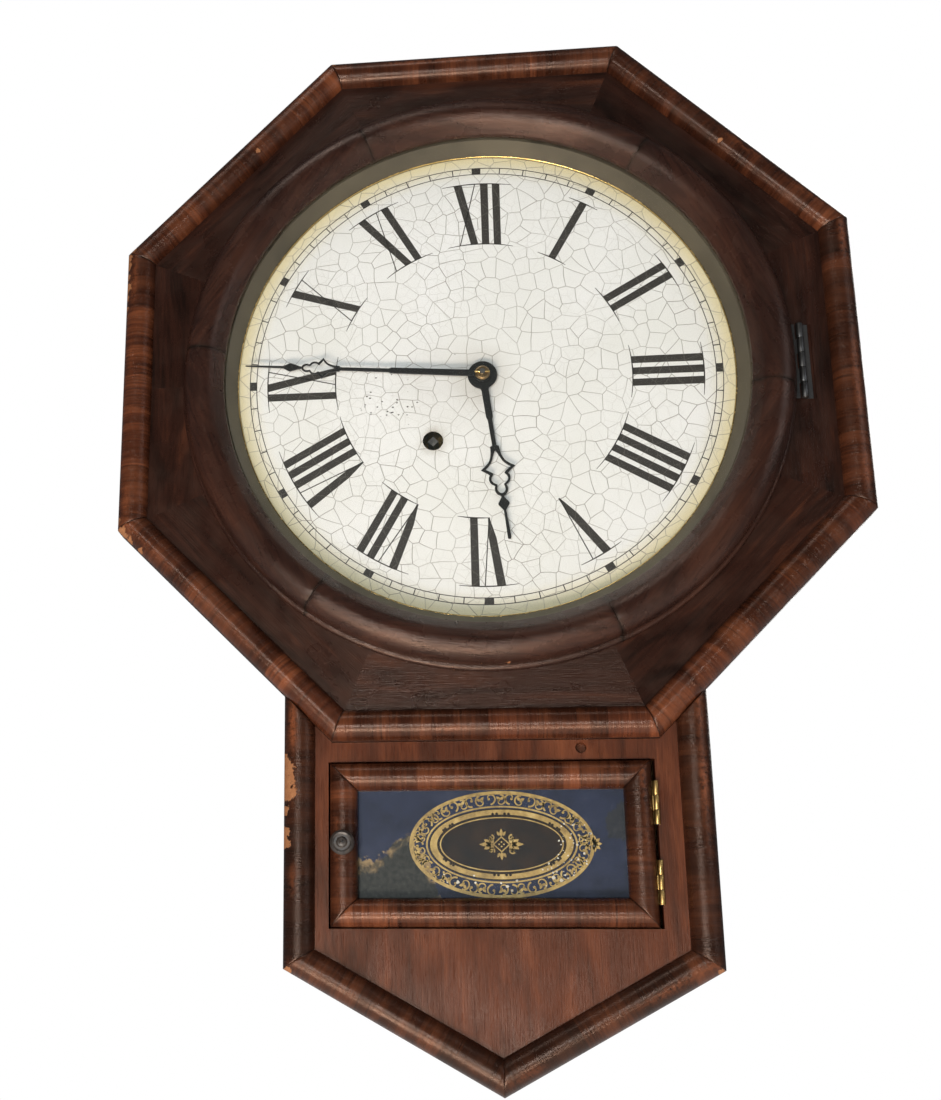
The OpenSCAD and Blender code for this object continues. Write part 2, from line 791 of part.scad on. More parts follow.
module front_plate() {
    stud_r = 1.3;
    color([0.76, 0.6, 0.3]) {
        difference() {
            translate([0, 0, front_plate_z]) linear_extrude(plate_t) plate_corners(plate_hw);
            for (p = [second_at, third_at, escape_at, verge_at])
                at(p, front_plate_z - 1) cylinder(r = pivot_r + run, h = plate_t + 2);
            at(great_at, front_plate_z - 1) cylinder(r = 2.5 + run, h = plate_t + 2);
            at(centre_at, front_plate_z - 1) cylinder(r = arbor_r + run, h = plate_t + 2);
            mirrored() for (y = pillar_y)
                at([pillar_x, y], front_plate_z - 1) cylinder(r = 1.5, h = plate_t + 2);
            at([26, 56], front_plate_z - 1) cylinder(r = 9, h = plate_t + 2);
            at([-26, 22], front_plate_z - 1) cylinder(r = 14, h = plate_t + 2);
            at([28, -62], front_plate_z - 1) cylinder(r = 11, h = plate_t + 2);
        }
        at(minute_at, front_plate_z + plate_t) cylinder(r = stud_r, h = 13);
    }
}

module pillars() {
    color([0.6, 0.48, 0.25])
    mirrored() for (y = pillar_y) at([pillar_x, y], 0) {
        translate([0, 0, back_plate_z]) cylinder(r = 1.8, h = plate_t + eps);
        translate([0, 0, back_plate_z + plate_t]) cylinder(r = 3.5, h = plate_space);
        translate([0, 0, front_plate_z - eps]) cylinder(r = 1.5, h = plate_t + 3.4);
    }
}

module pillar_nuts() {
    color([0.45, 0.43, 0.4])
    mirrored() for (y = pillar_y) at([pillar_x, y], front_plate_z + plate_t) difference() {
        cylinder(r = 3.6, h = 2.4, $fn = 6);
        translate([0, 0, -1]) cylinder(r = 1.5, h = 5);
    }
}

// Open spring of half turns on two centres, its outer end hooked round a pillar
spring_in = 5.2;
spring_pitch = 3.96;
spring_turns = 5;
spring_t = 0.45;
spring_z = back_plate_z + plate_t + 1.6;
spring_w = 13.4;

module mainspring() {
    loop_r = 3.5 + fit;
    out_r = spring_in + spring_turns * spring_pitch;
    hook_at = [-pillar_x, pillar_y[1]] - great_at;
    tail_l = sqrt(pow(norm(hook_at), 2) - pow(out_r - loop_r, 2));
    color([0.35, 0.38, 0.45])
    at(great_at, spring_z) rotate(bearing([0, 0], hook_at) + atan2(tail_l, out_r - loop_r)) {
        mirror([0, 1, 0]) for (k = [0 : 2 * spring_turns - 1])
            translate([k % 2 * spring_pitch / 2, 0, 0]) rotate(180 * (k % 2)) rotate_extrude(angle = 180)
                translate([spring_in + k * spring_pitch / 2, 0]) square([spring_t, spring_w]);
        bar(out_r, out_r + spring_t, -tail_l, 0, 0, spring_w);
        translate([out_r - loop_r, -tail_l, 0]) rotate(180) rotate_extrude(angle = 180)
            translate([loop_r, 0]) square([spring_t, spring_w]);
    }
}

module suspension_cock() {
    color([0.7, 0.54, 0.26])
    difference() {
        union() {
            at(verge_at, 0) bar(-6, 6, 1, 16, rod_z - 5, back_plate_z);
            at(verge_at, 0) bar(-11, 11, 5, 16, back_plate_z - 2, back_plate_z);
        }
        at(verge_at, 0) bar(-0.45, 0.45, 0, 4, rod_z - 6, rod_z + 4.2);
        at(verge_at, 0) bar(-6.1, 6.1, 0, 4.6, rod_z + 4.2, back_plate_z + 1);
    }
}

// Going train

great_wheel_z = front_plate_z - 7.4;
ratchet_z = great_wheel_z - 2.2;
second_wheel_z = ratchet_z - 3.1;
centre_wheel_z = front_plate_z - 3.4;
third_wheel_z = back_plate_z + plate_t + 6.4;
escape_wheel_z = back_plate_z + plate_t + 16.4;
ratchet_n = 24;
ratchet_r = 10.5;
wind_r = 3;

module winding_arbor() {
    square_r = 3.1;
    collar_r = 4.2;
    color([0.55, 0.54, 0.52])
    at(great_at, 0) {
        translate([0, 0, back_plate_z + plate_t + 0.3]) cylinder(r = wind_r, h = plate_space - 0.6);
        translate([0, 0, back_plate_z + 0.1]) cylinder(r = pivot_r, h = 3);
        translate([0, 0, front_plate_z - 1]) cylinder(r = 2.5, h = plate_t + 2.4);
        translate([0, 0, front_plate_z + plate_t + 1])
            cylinder(r = square_r, h = dial_z - 1.4 - front_plate_z - plate_t - 1, $fn = 4);
        translate([0, 0, great_wheel_z + wheel_t + 0.7]) cylinder(r = collar_r, h = 1.2);
    }
}

module ratchet_wheel() {
    color([0.5, 0.5, 0.48])
    at(great_at, ratchet_z) rotate(click_a) linear_extrude(2) difference() {
        polygon([for (i = [0 : ratchet_n - 1]) each [pol(ratchet_r - 1.8, 360 / ratchet_n * i),
            pol(ratchet_r, 360 / ratchet_n * i + 0.5)]]);
        circle(r = wind_r);
    }
}

module great_wheel() {
    rivet = click_at;
    color([0.78, 0.61, 0.28])
    at(great_at, great_wheel_z) {
        difference() {
            wheel(great_n, great_m, bearing(great_at, second_at), wheel_t, 21, 5);
            translate([0, 0, -1]) cylinder(r = wind_r + run, h = 5);
        }
        at(rivet, -2.6) cylinder(r = 1.2, h = 2.6 + eps);
    }
}

// Click: pivots on the great wheel's rivet, its nose behind a ratchet tooth
click_a = 100;
click_at = pol(16.2, click_a - 58);

module click() {
    color([0.42, 0.42, 0.42])
    at(great_at, ratchet_z) difference() {
        union() {
            at(click_at, 0) cylinder(r = 2.8, h = 2);
            linear_extrude(2)
                polygon([pol(13.9, click_a - 57), pol(11.7, click_a - 24), pol(ratchet_r + 0.2, click_a - 9),
                    pol(ratchet_r - 1.2, click_a - 1.5), pol(ratchet_r + 0.7, click_a - 0.8),
                    pol(14.2, click_a - 9), pol(16.6, click_a - 30), pol(18.5, click_a - 57)]);
        }
        at(click_at, -1) cylinder(r = 1.2 + run, h = 4);
    }
}

module click_spring() {
    color([0.7, 0.56, 0.3])
    at(great_at, ratchet_z + 0.2) {
        rotate(click_a - 20) rotate_extrude(angle = 50) translate([19.6, 0]) square([0.5, 1.4]);
        rotate(click_a + 30) translate([19.85, 0, 0]) cylinder(r = 1.3, h = great_wheel_z - ratchet_z - 0.2);
    }
}

module arbor_node(p, r, n, m, toward, z, l, shade) {
    color(shade)
    at(p, 0) {
        pivoted(r);
        translate([0, 0, z]) lantern(n, m, bearing(p, toward), l);
    }
}

module second_wheel() {
    color([0.78, 0.61, 0.28])
    at(second_at, second_wheel_z) difference() {
        wheel(second_n, second_m, bearing(second_at, centre_at), wheel_t, 5, 4);
        translate([0, 0, -1]) cylinder(r = 1.5, h = 5);
    }
}

module second_arbor() {
    arbor_node(second_at, 1.5, second_pn, great_m, great_at, great_wheel_z - 1.9, 5, [0.5, 0.5, 0.5]);
}

module centre_wheel() {
    color([0.78, 0.61, 0.28])
    at(centre_at, centre_wheel_z) difference() {
        wheel(centre_n, centre_m, bearing(centre_at, third_at), wheel_t, 5, 4);
        translate([0, 0, -1]) cylinder(r = arbor_r, h = 5);
    }
}

module centre_arbor() {
    color([0.5, 0.5, 0.5]) difference() {
        at(centre_at, 0) {
            translate([0, 0, back_plate_z + plate_t + 0.3])
                cylinder(r = arbor_r, h = arbor_end - back_plate_z - plate_t - 0.3);
            translate([0, 0, back_plate_z + 0.1]) cylinder(r = pivot_r, h = 3);
            translate([0, 0, second_wheel_z - 1.9])
                lantern(centre_pn, second_m, bearing(centre_at, second_at), 5.4);
        }
        translate([0, 0, arbor_end - 1.2]) rotate([0, 90, 0]) translate([0, 0, -5]) cylinder(r = 0.5, h = 10);
    }
}

module third_wheel() {
    color([0.78, 0.61, 0.28])
    at(third_at, third_wheel_z) difference() {
        wheel(third_n, third_m, bearing(third_at, escape_at), wheel_t, 4, 4);
        translate([0, 0, -1]) cylinder(r = 1.2, h = 5);
    }
}

module third_arbor() {
    arbor_node(third_at, 1.2, third_pn, centre_m, centre_at, centre_wheel_z - 1.4, 4.2, [0.5, 0.5, 0.5]);
}

module escape_wheel() {
    color([0.8, 0.64, 0.3])
    at(escape_at, escape_wheel_z) linear_extrude(1.2) difference() {
        polygon([for (i = [0 : escape_n - 1]) each [pol(escape_r - 2.6, 360 / escape_n * i),
            pol(escape_r, 360 / escape_n * (i + 0.62)), pol(escape_r, 360 / escape_n * (i + 0.72)),
            pol(escape_r - 2.6, 360 / escape_n * (i + 0.9))]]);
        difference() {
            circle(r = escape_r - 4.4);
            circle(r = 3.4);
            for (i = [0 : 3]) rotate(90 * i) translate([0, -0.9]) square([escape_r, 1.8]);
        }
        circle(r = 1.2);
    }
}

module escape_arbor() {
    arbor_node(escape_at, 1.2, escape_pn, third_m, third_at, third_wheel_z - 1.4, 4.2, [0.5, 0.5, 0.5]);
}

// Escapement: a strip bent over the escape wheel, on its arbor, with the crutch behind
module verge() {
    drop = verge_at[1] - escape_at[1];
    pallet = pol(escape_r + 1.7, 42);
    color([0.5, 0.5, 0.52])
    at(verge_at, 0) {
        pivoted(1.3);
        translate([0, 0, rod_z + 6]) cylinder(r = 1.3, h = back_plate_z + plate_t + 1 - rod_z - 6);
        translate([0, 0, escape_wheel_z - 1]) linear_extrude(3.2) {
            circle(r = 2.6);
            mirrored() polygon([[0, -0.4], [pallet[0] + 0.6, pallet[1] - drop + 1.6],
                [pallet[0] + 0.6, pallet[1] - drop],
                [pallet[0], pallet[1] - drop], [pallet[0] - 1, pallet[1] - drop + 1.8], [0, -2.4]]);
        }
    }
}

crutch_l = 52;

module crutch() {
    prong_x = 2.2;
    color([0.7, 0.55, 0.3])
    at(verge_at, 0) {
        difference() {
            translate([0, 0, rod_z + 7]) cylinder(r = 2.4, h = 2);
            translate([0, 0, rod_z + 6]) cylinder(r = 1.3, h = 4);
        }
        bar(-0.8, 0.8, -crutch_l, -2, rod_z + 7.2, rod_z + 8.8);
        bar(-prong_x - 0.8, prong_x + 0.8, -crutch_l - 1.6, -crutch_l, rod_z + 7.2, rod_z + 8.8);
        mirrored() bar(prong_x - 0.8, prong_x + 0.8, -crutch_l - 1.6, -crutch_l, rod_z - 4, rod_z + 8.8);
    }
}

// Motion work and hands

cannon_z = front_plate_z + plate_t + 1.6;
minute_wheel_z = cannon_z + 1.2;
hour_wheel_z = cannon_z + 6;

module cannon_pinion() {
    color([0.55, 0.53, 0.48])
    translate([0, 0, cannon_z]) difference() {
        union() {
            rotate(bearing(centre_at, minute_at)) linear_extrude(4)
                polygon(teeth(cannon_n, cannon_m, 0.8, 1.15, leaf_widths));
            cylinder(r = cannon_or, h = minute_hand_z + hand_t - cannon_z - hand_t);
            cylinder(r = 2.1, h = minute_hand_z + hand_t - cannon_z);
        }
        translate([0, 0, -1]) cylinder(r = arbor_r, h = 60);
    }
}

module minute_wheel() {
    color([0.76, 0.6, 0.3])
    at(minute_at, minute_wheel_z) difference() {
        union() {
            linear_extrude(wheel_t) rotate(bearing(minute_at, centre_at) + 180 / minute_n)
                polygon(teeth(minute_n, cannon_m, 0.8, 1.15, leaf_widths));
            rotate(bearing(minute_at, centre_at)) linear_extrude(8)
                polygon(teeth(minute_pn, hour_m, 0.8, 1.15, leaf_widths));
        }
        translate([0, 0, -1]) cylinder(r = 1.3 + run, h = 20);
    }
}

module hour_wheel() {
    color([0.76, 0.6, 0.3])
    translate([0, 0, hour_wheel_z]) difference() {
        union() {
            linear_extrude(wheel_t) rotate(bearing(centre_at, minute_at) + 180 / hour_n)
                polygon(teeth(hour_n, hour_m, 0.8, 1.15, leaf_widths));
            cylinder(r = hour_or, h = hour_hand_z - hour_wheel_z);
            cylinder(r = hour_or - 0.5, h = hour_hand_z + hand_t - hour_wheel_z);
        }
        translate([0, 0, -1]) cylinder(r = cannon_or + run, h = 60);
    }
}

// Maltese-cross hand: tapering stem, open ornament from r0 to r1, diamond and blade
module hand(l, hub_r, stem_w, r0, r1, orn_w) {
    mid = (r0 + r1) / 2;
    circle(r = hub_r);
    polygon([[-stem_w, 0], [stem_w, 0], [stem_w * 0.55, r0 + 0.5], [-stem_w * 0.55, r0 + 0.5]]);
    difference() {
        polygon([[0, r0 - 1], [orn_w, mid], [0, r1 + 1], [-orn_w, mid]]);
        polygon([[0, r0 + 2.4], [orn_w - 2.8, mid], [0, r1 - 2.4], [-orn_w + 2.8, mid]]);
    }
    polygon([[0, r1 - 1.5], [2.6, r1 + 5], [0.9, r1 + 9], [0, l], [-0.9, r1 + 9], [-2.6, r1 + 5]]);
}

module hour_hand() {
    color([0.06, 0.06, 0.07])
    translate([0, 0, hour_hand_z]) rotate(hour_a) linear_extrude(hand_t) difference() {
        hand(hour_l, 8.7, 2, 50.5, 83, 9.5);
        circle(r = hour_or - 0.5);
    }
}

module minute_hand() {
    color([0.06, 0.06, 0.07])
    translate([0, 0, minute_hand_z]) rotate(minute_a) linear_extrude(hand_t) difference() {
        hand(minute_l, 5.2, 1.5, 85, 108, 6.5);
        circle(r = 2.1);
    }
}

module hand_washer() {
    color([0.72, 0.55, 0.28])
    translate([0, 0, minute_hand_z + hand_t]) difference() {
        rotate_extrude() polygon([[0, 0], [4.4, 0], [4.4, 0.8], [3.4, 1.8], [0, 1.8]]);
        translate([0, 0, -1]) cylinder(r = arbor_r + run, h = 6);
    }
}

module taper_pin() {
    color([0.5, 0.4, 0.25])
    translate([-4.4, 0, arbor_end - 1.2]) rotate([0, 90, 0]) cylinder(r = 0.5, h = 8.8);
}

// Pendulum

spring_low = verge_at[1] - 14;
bob_y = verge_at[1] - pendulum_l;
rod_r = 1.2;
nut_r = 5.5;
nut_h = 4;
nut_y = bob_y - bob_r - nut_h - 0.4;

module suspension_spring() {
    color([0.5, 0.52, 0.56]) {
        bar(-0.1, 0.1, spring_low - 1, verge_at[1] + 3, rod_z - 3, rod_z + 3);
        bar(-2.2, 2.2, spring_low - 4, spring_low, rod_z - 3.6, rod_z + 3.6);
    }
}

module pendulum_rod() {
    color([0.55, 0.53, 0.48])
    upright(0, rod_z, nut_y - 9, spring_low - 4, rod_r);
}

module pendulum_bob() {
    rim = 1.2;
    lens_r = (pow(bob_r, 2) + pow(bob_t / 2 - rim, 2)) / (2 * (bob_t / 2 - rim));
    color([0.75, 0.58, 0.25])
    difference() {
        at([0, bob_y], rod_z) rotate_extrude() intersection() {
            translate([0, -bob_t / 2]) square([bob_r, bob_t]);
            translate([0, bob_t / 2 - lens_r]) circle(r = lens_r, $fn = 128);
            translate([0, -bob_t / 2 + lens_r]) circle(r = lens_r, $fn = 128);
        }
        upright(0, rod_z, bob_y - bob_r - 1, bob_y + bob_r + 1, rod_r);
    }
}

module rating_nut() {
    color([0.7, 0.54, 0.26])
    difference() {
        union() {
            upright(0, rod_z, nut_y, nut_y + nut_h, nut_r);
            upright(0, rod_z, nut_y - 2.4, nut_y + 1, 3);
        }
        upright(0, rod_z, nut_y - 5, nut_y + nut_h + 1, rod_r + run);
    }
}

hung() back_board();
hung() case_side_left();
hung() case_side_right();
hung() case_top();
hung() case_bottom_boards();
hung() octagon_panel();
hung() octagon_mouldings();
hung() drop_panel();
hung() drop_mouldings();
hung() corner_blocks();
hung() hanger_plate();
hung() case_screws();
hung() dial_plate();
hung() movement_blocks();
hung() back_plate();
hung() front_plate();
hung() pillars();
hung() pillar_nuts();
hung() mainspring();
hung() suspension_cock();
hung() bezel_hinge_case_leaf();
hung() hinge_pins();
hung() door_hinge_case_leaves();
hung() bezel_segments();
hung() bezel_glass();
hung() sight_ring();
hung() bezel_hinge_leaf();
hung() bezel_catch();
hung() door_rails();
hung() tablet_glass();
hung() tablet_strips();
hung() door_hinge_leaves();
hung() door_knob();
hung() door_latch();
hung() winding_arbor();
hung() ratchet_wheel();
hung() great_wheel();
hung() click_spring();
hung() click();
hung() second_wheel();
hung() second_arbor();
hung() centre_wheel();
hung() centre_arbor();
hung() cannon_pinion();
hung() minute_hand();
hung() hand_washer();
hung() taper_pin();
hung() third_wheel();
hung() third_arbor();
hung() escape_wheel();
hung() escape_arbor();
hung() verge();
hung() crutch();
hung() minute_wheel();
hung() hour_wheel();
hung() hour_hand();
hung() suspension_spring();
hung() pendulum_rod();
hung() pendulum_bob();
hung() rating_nut();
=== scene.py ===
"""Looks of the drop-octagon pendulum wall clock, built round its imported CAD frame.

Pieces are laid out in clock coordinates, in millimetres: x to the right and y up from
the dial's centre, z out of the wall. place() turns them into the row frame, in metres.
"""

import random
from math import acos, asin, atan2, cos, degrees, exp, hypot, pi, radians, sin, sqrt, tan

import bpy
from mathutils import Matrix, Vector
from mathutils.noise import noise


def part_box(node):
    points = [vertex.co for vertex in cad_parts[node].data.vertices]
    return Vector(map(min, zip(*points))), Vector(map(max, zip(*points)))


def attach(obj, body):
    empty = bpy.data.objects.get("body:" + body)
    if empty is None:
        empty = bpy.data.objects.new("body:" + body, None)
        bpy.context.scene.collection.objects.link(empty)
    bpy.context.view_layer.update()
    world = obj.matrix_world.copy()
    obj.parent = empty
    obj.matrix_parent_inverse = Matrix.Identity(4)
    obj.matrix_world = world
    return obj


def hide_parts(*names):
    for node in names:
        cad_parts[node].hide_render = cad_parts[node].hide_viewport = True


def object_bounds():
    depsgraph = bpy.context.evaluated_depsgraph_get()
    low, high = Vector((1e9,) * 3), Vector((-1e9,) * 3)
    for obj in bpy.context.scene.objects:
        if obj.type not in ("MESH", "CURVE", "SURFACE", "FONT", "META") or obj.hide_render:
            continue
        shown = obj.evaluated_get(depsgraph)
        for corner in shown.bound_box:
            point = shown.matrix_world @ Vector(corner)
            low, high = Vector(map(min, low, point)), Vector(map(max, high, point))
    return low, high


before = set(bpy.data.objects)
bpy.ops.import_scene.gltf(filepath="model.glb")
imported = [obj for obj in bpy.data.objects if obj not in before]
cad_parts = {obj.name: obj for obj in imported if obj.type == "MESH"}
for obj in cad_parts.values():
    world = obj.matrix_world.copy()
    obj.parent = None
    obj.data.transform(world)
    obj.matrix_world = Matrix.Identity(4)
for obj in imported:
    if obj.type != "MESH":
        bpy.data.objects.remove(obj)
cad_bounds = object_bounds()

MM = 0.001
DIAL_LOW, DIAL_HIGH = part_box("dial_plate")
CENTRE_Z = (DIAL_LOW[2] + DIAL_HIGH[2]) / 2


def place(x, y, z):
    """A point in clock millimetres, in the row frame."""
    return Vector((x * MM, -z * MM, CENTRE_Z + y * MM))


class Extent:
    """A CAD node's box in clock millimetres."""

    def __init__(self, node):
        low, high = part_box(node)
        self.x0, self.x1 = low[0] / MM, high[0] / MM
        self.y0, self.y1 = (low[2] - CENTRE_Z) / MM, (high[2] - CENTRE_Z) / MM
        self.z0, self.z1 = -high[1] / MM, -low[1] / MM


dial, octagon, drop = Extent("dial_plate"), Extent("octagon_mouldings"), Extent("drop_mouldings")
bezel, sight = Extent("bezel_segments"), Extent("sight_ring")
door, tablet = Extent("door_rails"), Extent("tablet_glass")

DIAL_R = dial.x1
MOULDING_W = 17.4
RAIL_W = 15.3
RAIL_SEAT = 4.0
BEZEL_W = 26.2
BEZEL_SEAT = 5.3
ROLL_R = 11.0
SIGHT_EDGE_R = 146.2
POINT_RISE = 64.5
JOINT_GAP = 0.15
TRACK_R = 137.5
SHOWN_MINUTES = 5 * 60 + 45.75


def polar(radius, angle):
    """A point angle degrees clockwise from twelve o'clock."""
    a = radians(angle)
    return radius * sin(a), radius * cos(a)


def turns(steps):
    """That many even steps of one full turn, in radians."""
    return [2 * pi * k / steps for k in range(steps)]


# Shader building


class Net:
    """A material's node tree, filled by short calls. A value may be a socket."""

    def __init__(self, name):
        self.material = bpy.data.materials.new(name)
        self.material.use_nodes = True
        self.tree = self.material.node_tree
        self.shader = self.tree.nodes["Principled BSDF"]

    def add(self, kind, inputs=(), **settings):
        node = self.tree.nodes.new(kind)
        for key, value in settings.items():
            setattr(node, key, value)
        for key, value in dict(inputs).items():
            self.put(node.inputs[key], value)
        return node

    def put(self, socket, value):
        if isinstance(value, bpy.types.NodeSocket):
            self.tree.links.new(value, socket)
        else:
            socket.default_value = value

    def maths(self, operation, a, b=0.0, clamp=False):
        return self.add("ShaderNodeMath", {0: a, 1: b}, operation=operation, use_clamp=clamp).outputs[0]

    def times(self, a, b, clamp=False):
        return self.maths("MULTIPLY", a, b, clamp)

    def plus(self, a, b):
        return self.maths("ADD", a, b)

    def minus(self, a, b):
        return self.maths("SUBTRACT", a, b)

    def vector(self, operation, a, b=(0, 0, 0)):
        return self.add("ShaderNodeVectorMath", {0: a, 1: b}, operation=operation).outputs[0]

    def combine(self, x, y, z=0.0):
        return self.add("ShaderNodeCombineXYZ", {0: x, 1: y, 2: z}).outputs[0]

    def scaled(self, vector, factors):
        return self.vector("MULTIPLY", vector, factors)

    def noise(self, where, scale, detail=4, rough=0.55, stretch=(1, 1, 1), distortion=0.0):
        moved = self.scaled(where, stretch)
        node = self.add(
            "ShaderNodeTexNoise",
            {"Vector": moved, "Scale": scale, "Detail": detail, "Roughness": rough, "Distortion": distortion},
        )
        return node.outputs["Fac"]

    def cracks(self, where, scale):
        """Distance to the nearest edge of a flat network of cells, across x and z."""
        flat = self.combine(self.part(where, 0), self.part(where, 2))
        node = self.add(
            "ShaderNodeTexVoronoi", {"Vector": flat, "Scale": scale},
            voronoi_dimensions="2D", feature="DISTANCE_TO_EDGE",
        )
        return node.outputs["Distance"]

    def distance(self, a, b):
        return self.add("ShaderNodeVectorMath", {0: a, 1: b}, operation="DISTANCE").outputs["Value"]

    def cells(self, where, scale):
        return self.add("ShaderNodeTexVoronoi", {"Vector": where, "Scale": scale}).outputs["Color"]

    def step(self, value, low, high, bottom=0.0, top=1.0):
        node = self.add(
            "ShaderNodeMapRange",
            {"Value": value, "From Min": low, "From Max": high, "To Min": bottom, "To Max": top},
            interpolation_type="SMOOTHSTEP",
        )
        return node.outputs["Result"]

    def mix(self, factor, a, b, blend="MIX"):
        node = self.add("ShaderNodeMix", data_type="RGBA", blend_type=blend)
        self.put(node.inputs["Factor"], factor)
        self.put(node.inputs[6], colour(a))
        self.put(node.inputs[7], colour(b))
        return node.outputs[2]

    def ramp(self, value, *stops):
        node = self.add("ShaderNodeValToRGB", {"Fac": value})
        ramp = node.color_ramp
        while len(ramp.elements) < len(stops):
            ramp.elements.new(0.5)
        for element, (position, shade) in zip(ramp.elements, stops):
            element.position = position
            element.color = colour(shade)
        return node.outputs["Color"]

    def bump(self, height, strength, distance=0.0002):
        node = self.add("ShaderNodeBump", {"Height": height, "Strength": strength, "Distance": distance})
        return node.outputs["Normal"]

    def attribute(self, name):
        return self.add("ShaderNodeAttribute", attribute_name=name).outputs["Vector"]

    def part(self, vector, axis):
        return self.add("ShaderNodeSeparateXYZ", {0: vector}).outputs[axis]

    def millimetres(self, turn=(0, 0, 0)):
        """Row-frame position in millimetres, turned by that much about x, y and z."""
        where = self.add("ShaderNodeTexCoord").outputs["Object"]
        scaled = self.scaled(where, (1000, 1000, 1000))
        return self.add("ShaderNodeMapping", {"Vector": scaled, "Rotation": turn}).outputs["Vector"]

    def finish(self, base, rough, normal=None, **constants):
        self.put(self.shader.inputs["Base Color"], colour(base))
        self.put(self.shader.inputs["Roughness"], rough)
        if normal is not None:
            self.put(self.shader.inputs["Normal"], normal)
        for key, value in constants.items():
            self.shader.inputs[key.replace("_", " ")].default_value = value
        return self.material


def colour(value):
    """Adds alpha to an RGB triple and passes sockets through."""
    if isinstance(value, bpy.types.NodeSocket) or len(value) == 4:
        return value
    return (*value, 1.0)


# Wood


def wood(name, where, dark, mid, light, streak, gloss, coat, figure=1.0, sections=0.0, marked=False):
    """Wood in three linear colours. where(net) gives millimetres with the grain along x,
    sections is the width of its veneer pieces, and marked wood reads the rails' marks:
    chips, dirt in the joints, painted shade darkening whole rails, and rubbed crests."""
    net = Net(name)
    p = where(net)
    broad = net.noise(p, 1.0, 3, 0.6, stretch=(0.008, 0.045, 0.045), distortion=1.2 * figure)
    fibre = net.noise(p, 1.0, 6, 0.7, stretch=(0.035, 0.75, 0.75), distortion=0.3)
    fine = net.noise(p, 1.0, 3, 0.6, stretch=(0.10, 3.2, 3.2))
    bent = net.plus(net.times(broad, 0.9), net.times(fibre, 0.55 * streak))
    base = net.ramp(bent, (0.42, dark), (0.66, mid), (0.92, light))
    lines = net.step(net.noise(p, 1.0, 4, 0.65, stretch=(0.012, 0.33, 0.33), distortion=0.8), 0.52, 0.70)
    base = net.mix(net.times(lines, 0.7 * streak), base, dark)
    pores = net.step(fine, 0.60, 0.74)
    base = net.mix(net.times(pores, 0.45), base, [c * 0.35 for c in dark])
    if sections:
        tones = net.cells(net.scaled(p, (0.0, 1.0 / sections, 0.0)), 1.0)
        tone = net.step(net.part(tones, 0), 0.0, 1.0, 0.62, 1.45)
        base = net.mix(1.0, base, net.combine(tone, tone, tone), "MULTIPLY")
    rough = net.step(net.noise(p, 0.05, 4), 0.3, 0.75, gloss - 0.06, gloss + 0.16)
    craze = net.noise(p, 1.0, 4, 0.65, stretch=(0.07, 2.2, 2.2))
    dents = net.noise(p, 0.12, 4, 0.6)
    height = net.plus(net.times(craze, 1.1), net.times(pores, -0.5))
    height = net.plus(height, net.times(dents, 0.3))
    if marked:
        marks = net.attribute("marks")
        ragged = net.noise(p, 0.35, 5, 0.7)
        chip = net.step(net.plus(net.part(marks, 0), net.times(ragged, 0.9)), 0.93, 0.97)
        bare = net.mix(ragged, BARE_LIGHT, BARE_DARK)
        dirt_and_shade = net.part(marks, 1)
        # darkens towards near-black: dirt in the joints, and painted shade over whole rails
        base = net.mix(dirt_and_shade, base, DIRT_AND_SHADE)
        rub = net.times(net.part(marks, 2), net.step(ragged, 0.35, 0.6))
        base = net.mix(net.times(rub, 0.55), base, [min(1, c * 1.9) for c in light])
        base = net.mix(chip, base, bare)
        rough = net.plus(rough, net.times(chip, 0.4))
        height = net.minus(height, net.times(chip, 2.5))
    normal = net.bump(height, 0.5, 0.0003)
    net.put(net.shader.inputs["Coat Normal"], net.bump(height, 0.55, 0.0003))
    return net.finish(
        base, rough, normal, Coat_Weight=coat, Coat_Roughness=0.14,
        Specular_IOR_Level=0.38, Specular_Tint=colour(SHINE),
    )


def grain(net):
    return net.attribute("grain")


def along_x(net):
    return net.millimetres()


def along_z(net):
    return net.millimetres((0, radians(90), 0))


def sectors(net):
    """Grain along each side of the octagon, with its own figure on every side."""
    p = net.millimetres()
    x = net.part(p, 0)
    z = net.minus(net.part(p, 2), CENTRE_Z / MM)
    angle = net.maths("ARCTAN2", z, x)
    side = net.maths("ROUND", net.maths("DIVIDE", angle, pi / 4))
    turn = net.times(side, pi / 4)
    c = net.maths("COSINE", turn)
    s = net.maths("SINE", turn)
    out = net.plus(net.times(x, c), net.times(z, s))
    along = net.minus(net.times(z, c), net.times(x, s))
    far = net.times(side, FIGURE_STEP)
    return net.combine(along, out, far)


# Linear colours: dark, middle and light of each wood, then its wear, with the near-black used for dirt in the
# joints and for painted shade
VENEER = ((0.006, 0.0024, 0.0018), (0.024, 0.0085, 0.0055), (0.075, 0.024, 0.011))
DROP_VENEER = ((0.022, 0.0050, 0.0022), (0.075, 0.019, 0.0075), (0.170, 0.050, 0.019))
BANDING = ((0.012, 0.0038, 0.0022), (0.058, 0.0165, 0.0075), (0.17, 0.052, 0.021))
DARK_ROSE = ((0.008, 0.0036, 0.0028), (0.021, 0.0088, 0.0066), (0.048, 0.019, 0.012))
CASE_WOOD = ((0.020, 0.008, 0.005), (0.055, 0.020, 0.011), (0.11, 0.042, 0.022))
PINE = ((0.14, 0.085, 0.045), (0.26, 0.17, 0.095), (0.36, 0.25, 0.15))
BARE_LIGHT, BARE_DARK = (0.42, 0.20, 0.09), (0.16, 0.050, 0.018)
DIRT_AND_SHADE = (0.006, 0.004, 0.003)
SHINE = (1.0, 0.66, 0.50)
FIGURE_STEP = 431.0

